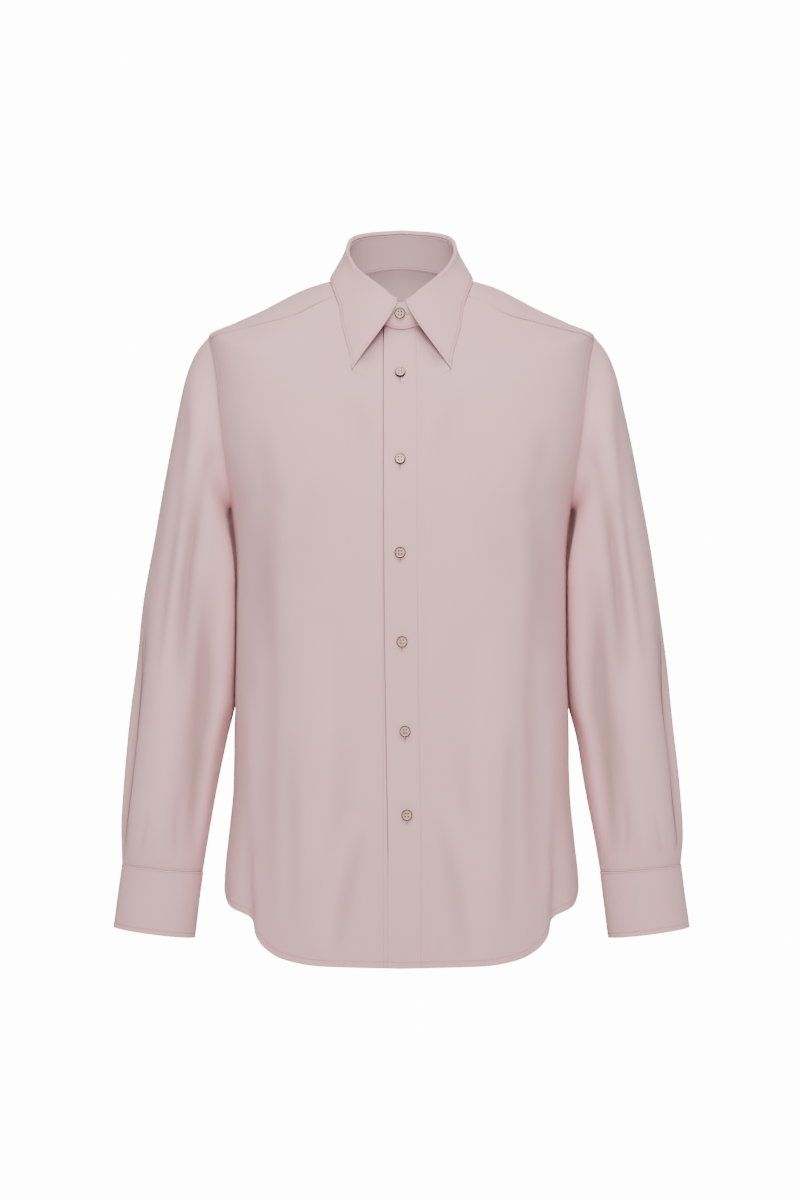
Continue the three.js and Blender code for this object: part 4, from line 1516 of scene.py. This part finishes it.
    def tube(self, finishes: Finishes) -> bpy.types.Object:
        """Builds the sleeve."""
        place = self.arm(self.place)
        return Sheet(
            self.word + "_sleeve_cloth",
            "sleeve_" + self.word,
            self.order(np.linspace(-180, 180, 121)),
            np.concatenate([np.linspace(0, self.cap, 40), np.linspace(self.cap, 1, 170)[1:]]),
            place,
            CUT.cloth,
            (seam(place, (-180, 0), (180, 0), 1.2), seam(place, (-180, 1), (180, 1), 1.5)),
            (NO_LINE, self.pleat_line(place)),
            self.hollow,
            loop=True,
        ).build(finishes.cloth)

    @staticmethod
    def cuff_ring(angle: Array, along: Array) -> Array:
        """Returns points of the cuff before its lap."""
        return oval(CUFF_RINGS, angle, along)

    def cuff_place(self, turn: Array, v: Array) -> tuple[Array, Array]:
        """Returns the left cuff's points and outward directions."""
        angle = -82 + np.asarray(turn, float)
        out = facing(self.cuff_ring, angle, np.asarray(v, float), 0.2, 0.001)
        lift = (CUT.interlined + CUT.layer) * ease((turn - 300) / 45)
        lift = lift + rippled(turn, v * 70, 60, 2.0 if self.left else 4.0) * 0.22
        return self.cuff_ring(angle, v) + out * lift[..., None], out

    def cuff(self, finishes: Finishes) -> bpy.types.Object:
        """Builds the cuff, which laps over itself at the back of the wrist."""
        place, end = self.arm(self.cuff_place), self.cuff_turns
        seams = (
            seam(place, (0, 0), (end, 0), 2.0),
            seam(place, (0, 1), (end, 1), 5.0),
            seam(place, (end, 0), (end, 1), 5.0, 60),
        )
        return Sheet(
            self.word + "_cuff_cloth",
            "cuff_" + self.word,
            self.order(np.linspace(0, end, 150)),
            np.linspace(0, 1, 34),
            place,
            CUT.interlined,
            seams,
            edge=0.7,
        ).build(finishes.cloth)

    def strip(self, lift: float) -> Place:
        """Returns this arm's placket surface, lifted off the sleeve."""

        def place(angle: Array, along: Array) -> tuple[Array, Array]:
            """Returns points and outward directions above the sleeve."""
            point, out = self.place(angle, mix(self.cap, 1.0, along))
            return point + out * lift, out

        return self.arm(place)

    def placket(self, finishes: Finishes) -> bpy.types.Object:
        """Builds the strip above the cuff's opening."""
        return Sheet(
            self.word + "_placket_cloth",
            "sleeve_placket_" + self.word,
            self.order(np.linspace(*self.placket_angles, 22)),
            np.linspace(*self.placket_rows, 60),
            self.strip(CUT.wall + CUT.layer),
            self.placket_thick,
        ).build(finishes.cloth)

    def stitches(self, finishes: Finishes) -> bpy.types.Object:
        """Sews the cuff's edges and the placket."""
        cuff, lift = self.arm(self.cuff_place), CUT.interlined + CUT.thread
        near, far = (edge + inset for edge, inset in zip(self.placket_angles, (1.6, -1.6)))
        strip = self.strip(CUT.wall + CUT.layer + self.placket_thick + CUT.thread)
        lines = [
            stitched(cuff, (4, 0.03), (390, 0.03), lift),
            stitched(cuff, (4, 0.93), (390, 0.93), lift),
            stitched(cuff, (387, 0.03), (387, 0.93), lift, 60),
            stitched(strip, (near, 0.745), (near, 0.98), 0, 80),
            stitched(strip, (far, 0.745), (far, 0.98), 0, 80),
            stitched(strip, (-96, 0.746), (-68, 0.746), 0, 30),
            stitched(strip, (-96, 0.78), (-68, 0.78), 0, 30),
        ]
        return sewn(self.word + "_sleeve_stitching", lines, finishes.thread)

    def build(self, finishes: Finishes) -> list[bpy.types.Object]:
        """Builds the sleeve, cuff, placket and stitching."""
        return [self.tube(finishes), self.cuff(finishes), self.placket(finishes), self.stitches(finishes)]


LEAF_EDGE = SizeTable(
    ("stand", "turn", "side"),
    (
        (4.6, 15.3, -49), (20, 20, -32), (38, 31, -12.5), (55, 47, 0),
        (72, 68, 3), (90, 90, 4), (135, 135, 3), (180, 180, 2),
    ),
)
STAND_TOP = SizeTable(
    ("turn", "high"),
    (
        (0, -24.6), (7, -23.4), (22.4, -12.5), (40, 0), (56, 10.5), (70, 21.5),
        (82, 29), (98, 40), (110, 47), (125, 52), (150, 56.5), (180, 59),
    ),
)


@dataclass
class Collar:
    """The stand, lapped at the front, and the leaf that rolls over it."""

    half: float = 57.5
    ahead: float = 69.0
    behind: float = 47.0
    over: float = -18.5
    under: float = 374.0
    bow: float = 1.0
    rise_end: float = 0.4
    rise_round: float = 2.0
    rise_over: float = 16.0
    roll: float = 1.6
    rest: float = 1.9
    shadow_drop: float = 5.0
    ends: tuple[float, float] = (4.6, 355.4)
    stand_inset: float = 2.2
    leaf_inset: float = 2.6
    leaf_row: float = 0.965
    stand_row: float = 0.07

    @property
    def lap(self) -> float:
        """How far the over end stands off the under end."""
        return CUT.interlined + 2 * CUT.layer

    def lift(self, turn: Array) -> Array:
        """Returns how far the stand is lifted near its over end."""
        return self.lap * (1 - ease((turn - 20) / 30))

    def top(self, turn: Array) -> Array:
        """Returns the stand's top line."""
        s, c = sin_deg(turn), cos_deg(turn)
        depth = np.where(c > 0, self.ahead, self.behind)
        return stacked(self.half * s, -depth * c, STAND_TOP.read("high", np.abs(signed(turn))))

    @staticmethod
    def outwards(turn: Array) -> Array:
        """Returns level directions away from the neck."""
        return stacked(sin_deg(turn), -cos_deg(turn), np.zeros_like(turn))

    def stand_point(self, turn: Array, v: Array) -> Array:
        """Returns points of the stand; v is 0 at the neck seam and 1 at its top."""
        turn, v = np.broadcast_arrays(np.asarray(turn, float), np.asarray(v, float))
        lift = self.lift(turn)
        away = self.outwards(turn)
        foot = BODY.point(turn, np.full(turn.shape, CUT.neck)) - away * 0.4
        foot = foot + stacked(0.0, 0.0, 0.2 + lift)
        bow = self.bow * 4 * v * (1 - v) + lift
        return mix(foot, self.top(turn), v[..., None]) + away * bow[..., None]

    def stand_place(self, turn: Array, v: Array) -> tuple[Array, Array]:
        """Returns the stand's points and outward directions."""
        return self.stand_point(turn, v), facing(self.stand_point, turn, v, 0.1, 0.002)

    def edge(self, turn: Array) -> Array:
        """Returns the leaf's outer edge on the body."""
        front = np.abs(signed(turn))
        reach = LEAF_EDGE.read("turn", front)
        side = LEAF_EDGE.read("side", front)
        round_ = np.where(turn > 180, 360 - reach, reach)
        return BODY.point(round_, side) + BODY.out(round_, side) * self.rest

    def lap_lines(self) -> tuple[SeamLine, SeamLine]:
        """Returns the lines on the body under the leaf's outer edge and under its front edges, along which
        the cloth takes painted shadow.
        """
        low, high = self.ends
        turn = np.concatenate([np.linspace(low, 115, 90), np.linspace(245, high, 90)])
        fall = self.edge(turn)
        inward = self.leaf_point(turn, np.full(180, 0.9)) - fall
        rows = []
        for end in (low, high):
            for x, _, z in self.leaf_point(np.full(12, end), np.linspace(0.42, 0.84, 12)):
                side = BODY.side_of(x, z - self.shadow_drop)
                rows.append(BODY.point(BODY.turn_at(x, side), np.array(side)))
        front = np.array(rows)
        return SeamLine(fall, 0.8, inward), SeamLine(front, 0.0)

    def leaf_point(self, turn: Array, v: Array) -> Array:
        """Returns points of the leaf: rise, roll, then fall."""
        turn, v = np.broadcast_arrays(np.asarray(turn, float), np.asarray(v, float))
        away = self.outwards(turn)
        foot = self.top(turn) + away * self.lift(turn)[..., None]
        foot = foot + stacked(0.0, 0.0, np.full(turn.shape, 2 * CUT.layer))
        roll = (self.roll + self.lap * ease((turn - 312) / 26)) / 2
        share = ease((np.abs(signed(turn)) - self.ends[0]) / self.rise_over)
        rise = mix(self.rise_end, self.rise_round, share)
        risen = foot + stacked(0.0, 0.0, rise * np.clip(v, 0, 0.1) / 0.1)
        a = math.pi * np.clip((v - 0.1) / 0.2, 0, 1)
        rolled = risen + away * (roll * (1 - np.cos(a)))[..., None] + stacked(0.0, 0.0, roll * np.sin(a))
        start = risen + away * (2 * roll)[..., None]
        edge = self.edge(turn)
        first = start + away * 1.5 - np.array([0.0, 0.0, 12.0])
        second = mix(edge, start, 0.34) + away * 2.5
        fallen = curve(start, first, second, edge, np.clip((v - 0.3) / 0.7, 0, 1)[..., None])
        return np.where((v < 0.3)[..., None], rolled, fallen)

    def leaf_place(self, turn: Array, v: Array) -> tuple[Array, Array]:
        """Returns the leaf's points and the directions of its underside."""
        out = facing(self.leaf_point, turn, np.clip(v, 0.002, 0.998), 0.1, 0.002)
        return self.leaf_point(turn, v), out

    def stand(self, finishes: Finishes) -> bpy.types.Object:
        """Builds the stand."""
        place, inset = self.stand_place, self.stand_inset
        over, under = self.over, self.under
        return Sheet(
            "collar_stand_cloth",
            "collar_stand",
            np.linspace(over, under, 200),
            np.linspace(0, 1, 22),
            place,
            CUT.interlined,
            (
                seam(place, (over, 1), (under, 1), inset, 500),
                seam(place, (over, 0), (under, 0), inset, 500),
                seam(place, (over, 0), (over, 1), inset, 60),
            ),
            way=Way.IN,
            edge=0.7,
            inner=finishes.neck,
        ).build(finishes.cloth)

    def leaf(self, finishes: Finishes) -> bpy.types.Object:
        """Builds the leaf."""
        low, high = self.ends
        place, inset = self.leaf_place, self.leaf_inset
        rise, roll, fall = np.linspace(0, 0.1, 3), np.linspace(0.1, 0.3, 12), np.linspace(0.3, 1, 44)
        return Sheet(
            "collar_leaf_cloth",
            "collar_leaf",
            np.linspace(low, high, 240),
            np.concatenate([rise, roll[1:], fall[1:]]),
            place,
            CUT.interlined,
            (
                seam(place, (low, 1), (high, 1), inset, 500),
                seam(place, (low, 0.3), (low, 1), inset, 100),
                seam(place, (high, 0.3), (high, 1), inset, 100),
            ),
            way=Way.IN,
            edge=0.7,
        ).build(finishes.cloth)

    def stitches(self, finishes: Finishes) -> bpy.types.Object:
        """Sews the edges of the stand and the leaf."""
        above = -(CUT.interlined + CUT.thread)
        low, high = self.ends
        leaf, row = self.leaf_place, self.leaf_row
        stand, foot = self.stand_place, self.stand_row
        over = self.over + 2
        lines = [
            stitched(leaf, (low + 1, row), (high - 1, row), above, 500),
            stitched(leaf, (low + 1.6, 0.35), (low + 1.6, row), above, 100),
            stitched(leaf, (high - 1.6, 0.35), (high - 1.6, row), above, 100),
            stitched(stand, (over, foot), (40, foot), CUT.thread, 120),
            stitched(stand, (over, foot), (over, 0.9), CUT.thread, 30),
        ]
        return sewn("collar_stitching", lines, finishes.thread)

    def build(self, finishes: Finishes) -> list[bpy.types.Object]:
        """Builds the stand, the leaf and their stitching."""
        return [self.stand(finishes), self.leaf(finishes), self.stitches(finishes)]


@dataclass(frozen=True)
class Seat:
    """Where a button sits: its middle, the way it faces and the way its buttonhole runs."""

    name: str
    point: Array
    out: Array
    slit: Array
    stand_off: float
    drop: float = 0.0

    def frame(self) -> tuple[Array, Array, Array]:
        """Returns the button's own three directions: across its buttonhole, along it and out."""
        aside = unit(np.cross(self.slit, self.out))
        return aside, unit(np.cross(self.out, aside)), self.out


def bar(middle: Array, half: Array, out: Array, pitch: float, bead: Bead) -> StitchLine:
    """Returns a straight row of stitches that reaches half its length each way from its middle."""
    return StitchLine(np.stack([middle - half, middle + half]), np.stack([out, out]), pitch, bead)


def edges_of(verts: Sequence[bmesh.types.BMVert]) -> list[bmesh.types.BMEdge]:
    """Returns the edges that meet these vertices, each once and always in the same order."""
    return list(dict.fromkeys(edge for vert in verts for edge in vert.link_edges))


@dataclass
class Buttons:
    """The four-hole shirt buttons, their thread and their buttonholes."""

    collar: Collar
    radius: float = 5.8
    thick: float = 2.6
    rim: float = 1.3
    rim_sunk: float = 0.25
    dish: float = 0.7
    foot: float = 0.5
    clear: float = 0.6
    hole: float = 0.9
    hole_out: float = 2.1
    plug_clear: float = 0.04
    shaded_rim: float = 0.9
    thread_apart: float = 1.48
    thread_bar: Bead = Bead(2.0, 0.4, 0.4)
    slit_long: float = 17.0
    slit_drop: float = 2.6
    purl_pitch: float = 0.6
    front: SizeTable = SizeTable(
        ("number", "x", "z"),
        (
            (1, -1.5, -102.5),
            (2, -1.5, -193.5),
            (3, -1.5, -290.5),
            (4, 0.5, -383.5),
            (5, 3.6, -477.5),
            (6, 5.6, -565),
        ),
    )

    @property
    def face(self) -> float:
        """Height of the dished face above the seat."""
        return self.thick - self.dish

    def seats(self) -> list[Seat]:
        """Returns the seats of all nine buttons."""
        found = []
        up = np.array([0.0, 0.0, 1.0])
        for number, x, z in self.front.rows:
            side = np.array(BODY.side_of(x, z))
            turn = BODY.turn_at(np.array(x), side)
            out = BODY.out(turn, side)
            point = BODY.point(turn, side) + out * (CUT.band_lift + CUT.wall + self.clear)
            slit = unit(up - out * (out @ up))
            found.append(Seat("front_%d" % number, point, out, slit, self.clear, self.slit_drop))
        turn = math.degrees(math.asin(-1.5 / self.collar.half))
        point, out = self.collar.stand_place(np.array(turn), np.array(0.6))
        found.append(Seat("collar", point + out * CUT.seam, out, unit(np.cross(up, out)), CUT.seam))
        for left in SIDES:
            sleeve = Sleeve(left)
            place = sleeve.arm(sleeve.cuff_place)
            point, out = place(np.array(380.0), np.array(0.5))
            aside, _ = place(np.array(384.0), np.array(0.5))
            raised = point + out * (CUT.interlined + CUT.seam)
            found.append(Seat("cuff_" + sleeve.word, raised, out, unit(aside - point), CUT.seam))
        return found

    def holes(self, high: float) -> list[Matrix]:
        """Returns the places of the four holes at a height."""
        turns = [math.radians(45 + 90 * quarter) for quarter in range(4)]
        reach = self.hole_out
        return [Matrix.Translation((reach * math.cos(turn), reach * math.sin(turn), high)) for turn in turns]

    def disc(self, bm: bmesh.types.BMesh) -> None:
        """Adds a button facing up: a plate with four holes, under a raised, rounded rim; the rim's outer
        faces and plugs in the holes are painted shade.
        """
        circle = bmesh.ops.create_circle
        edges = edges_of(circle(bm, segments=40, radius=self.radius - self.shaded_rim)["verts"])
        for spot in self.holes(0):
            edges += edges_of(circle(bm, segments=14, radius=self.hole, matrix=spot)["verts"])
        filled = bmesh.ops.triangle_fill(bm, edges=edges, use_beauty=True)["geom"]
        faces = [part for part in filled if isinstance(part, bmesh.types.BMFace)]
        grown = bmesh.ops.extrude_face_region(bm, geom=faces)["geom"]
        moved = [part for part in grown if isinstance(part, bmesh.types.BMVert)]
        bmesh.ops.translate(bm, vec=(0, 0, self.face - self.foot), verts=moved)
        bmesh.ops.translate(bm, vec=(0, 0, self.foot), verts=bm.verts)
        wide = self.rim / 2
        middle = Matrix.Translation((self.radius - wide - self.rim_sunk, 0, self.thick / 2))
        size = Matrix.Diagonal((wide + self.rim_sunk, 1, self.thick / 2, 1))
        stood = middle @ size @ Matrix.Rotation(math.pi / 2, 4, "X")
        ring = circle(bm, segments=14, radius=1.0, matrix=stood)["verts"]
        bmesh.ops.spin(
            bm,
            geom=edges_of(ring) + ring,
            cent=(0, 0, 0),
            axis=(0, 0, 1),
            angle=math.tau,
            steps=44,
            use_merge=True,
        )
        # Dark plugs in the holes are painted shade.
        shade_plugs = []
        narrow = self.hole - self.plug_clear
        for spot in self.holes(self.face - 0.45):
            shade_plugs += bmesh.ops.create_cone(
                bm, cap_ends=True, segments=14, radius1=narrow, radius2=narrow, depth=0.6, matrix=spot
            )["verts"]
        # The rim's outer faces and the plugs take the second finish, painted shade.
        for face in bm.faces:
            centre = face.calc_center_median()
            face.material_index = int(centre.xy.length > self.radius - self.shaded_rim)
        for face in {face for vert in shade_plugs for face in vert.link_faces}:
            face.material_index = 1

    def button(self, seat: Seat, finishes: Finishes) -> bpy.types.Object:
        """Makes one button on its seat."""
        bm = bmesh.new()
        self.disc(bm)
        turn = Matrix((*(Vector(row) for row in seat.frame()),)).transposed().to_4x4()
        place = Matrix.Scale(MM, 4) @ Matrix.Translation(Vector(seat.point)) @ turn
        bmesh.ops.transform(bm, matrix=place, verts=bm.verts)
        bmesh.ops.recalc_face_normals(bm, faces=bm.faces)
        mesh = smooth_mesh(bm, "button_" + seat.name)
        mesh.set_sharp_from_angle(angle=math.radians(40))
        made = add_object("pearl_button_" + seat.name, mesh, finishes.pearl)
        # The second slot holds the painted shade of the rim and the holes.
        mesh.materials.append(finishes.button_shade)
        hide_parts("button_" + seat.name)
        return made

    def threads(self, seats: Sequence[Seat], finishes: Finishes) -> bpy.types.Object:
        """Sews the buttons on with two bars each, and works their buttonholes."""
        lines = []
        pitch, half = self.purl_pitch, self.slit_long / 2
        for seat in seats:
            aside, up, out = seat.frame()
            top = seat.point + out * (self.face + 0.12)
            ground = seat.point - out * seat.stand_off - up * seat.drop
            for way in (1, -1):
                centre = top + aside * (way * self.thread_apart)
                lines.append(bar(centre, up * 1.3, out, 2.6, self.thread_bar))
            for way in (1, -1):
                lines.append(bar(ground + aside * (way * 0.95), up * half, out, pitch, Bead(0.66, 1.5, 0.6)))
            for way in (1, -1):
                lines.append(bar(ground + up * (way * half), aside * 1.3, out, pitch, Bead(0.66, 1.6, 0.6)))
        return sewn("buttonholes_and_thread", lines, finishes.thread)

    def slit_shades(self, seats: Sequence[Seat], finishes: Finishes) -> bpy.types.Object:
        """Marks the cut of each buttonhole between its two rows of thread with a dark bead of painted shade.
        """
        half = (self.slit_long - 2) / 2
        lines = []
        for seat in seats:
            _, up, out = seat.frame()
            ground = seat.point - out * (seat.stand_off - CUT.thread) - up * seat.drop
            lines.append(bar(ground, up * half, out, half, Bead(half, 0.4, 0.3)))
        return sewn("buttonhole_slit_shades", lines, finishes.button_shade)

    def build(self, finishes: Finishes) -> list[bpy.types.Object]:
        """Builds the buttons, their thread and the buttonholes."""
        seats = self.seats()
        discs = [self.button(seat, finishes) for seat in seats]
        return [*discs, self.threads(seats, finishes), self.slit_shades(seats, finishes)]


@dataclass(frozen=True)
class Lamp:
    """A large soft light: places in metres, its side in metres and its power in watts."""

    name: str
    place: tuple[float, float, float]
    aim: tuple[float, float, float]
    size: float
    power: float
    tint: tuple[float, float, float] = (1.0, 1.0, 1.0)

    def build(self) -> bpy.types.Object:
        """Hangs the light."""
        light = bpy.data.lights.new(self.name, "AREA")
        light.color = self.tint
        light.shape = "SQUARE"
        light.size = self.size
        light.energy = self.power
        made = bpy.data.objects.new(self.name, light)
        made.location = self.place
        made.rotation_mode = "QUATERNION"
        made.rotation_quaternion = (Vector(self.aim) - Vector(self.place)).to_track_quat("-Z", "Y")
        bpy.context.scene.collection.objects.link(made)
        return made


MIDDLE = (0.0, 0.0, -0.35)


@dataclass
class Studio:
    """White studio: a floor of paper, a soft world and large soft lights, seen from the front."""

    eye: tuple[float, float, float] = (-0.0016, -4.0, -0.3402)
    lens: float = 111.1
    sensor: float = 36.0
    floor: float = -0.775
    floor_reach: float = 9.0
    world: float = 0.34
    glow: float = 14.0
    lamps: tuple[Lamp, ...] = (
        Lamp("key", (0.0, -3.2, 0.7), MIDDLE, 1.2, 89.0),
        Lamp("high", (0.0, -1.15, 1.15), (0.0, 0.0, -0.05), 0.6, 27.0),
        Lamp("top", (0.0, 0.6, 2.4), MIDDLE, 1.6, 14.0),
        Lamp("behind", (0.6, 3.0, 1.0), MIDDLE, 1.6, 46.0),
        Lamp("inside", (0.0, -0.01, -0.12), (0.0, 0.1, 0.0), 0.08, 0.13, (0.7, 1.0, 1.0)),
    )

    def paper(self, finishes: Finishes) -> None:
        """Lays the floor."""
        bm = bmesh.new()
        bmesh.ops.create_grid(bm, x_segments=2, y_segments=2, size=self.floor_reach)
        bmesh.ops.translate(bm, vec=(0, 0, self.floor), verts=bm.verts)
        mesh = smooth_mesh(bm, "studio_paper")
        mesh.materials.append(finishes.studio)
        made = bpy.data.objects.new("studio_paper", mesh)
        bpy.context.scene.collection.objects.link(made)

    def sky(self) -> None:
        """Lights the world softly, and shows it white."""
        world = bpy.data.worlds.new("soft_white")
        world.use_nodes = True
        tree = world.node_tree
        background = tree.nodes["Background"]
        background.inputs["Color"].default_value = Tone.WHITE.value
        seen = tree.nodes.new("ShaderNodeLightPath")
        strength = tree.nodes.new("ShaderNodeMapRange")
        strength.inputs["To Min"].default_value = self.world
        strength.inputs["To Max"].default_value = self.glow
        tree.links.new(seen.outputs["Is Camera Ray"], strength.inputs["Value"])
        tree.links.new(strength.outputs["Result"], background.inputs["Strength"])
        bpy.context.scene.world = world

    def camera(self) -> None:
        """Sets the camera level in front of the shirt."""
        data = bpy.data.cameras.new("camera")
        data.sensor_width = self.sensor
        data.lens = self.lens
        made = bpy.data.objects.new("camera", data)
        made.location = self.eye
        made.rotation_euler = (math.pi / 2, 0, 0)
        bpy.context.scene.collection.objects.link(made)
        bpy.context.scene.camera = made

    def build(self, finishes: Finishes) -> None:
        """Builds the studio."""
        self.paper(finishes)
        self.sky()
        for lamp in self.lamps:
            lamp.build()
        self.camera()


def main() -> None:
    """Builds the shirt piece by piece, then the studio."""
    logging.basicConfig(level=logging.INFO, format="%(message)s")
    finishes = Finishes()
    collar = Collar()
    body = Body(leaf_lap=collar.lap_lines())
    stages = (
        ("body", body),
        ("yoke", Yoke(body)),
        ("collar", collar),
        ("left sleeve", Sleeve(True)),
        ("right sleeve", Sleeve(False)),
        ("buttons", Buttons(collar)),
    )
    for name, stage in stages:
        made = stage.build(finishes)
        LOG.info("built %s: %d pieces", name, len(made))
    Studio().build(finishes)


if __name__ == "__main__":
    main()
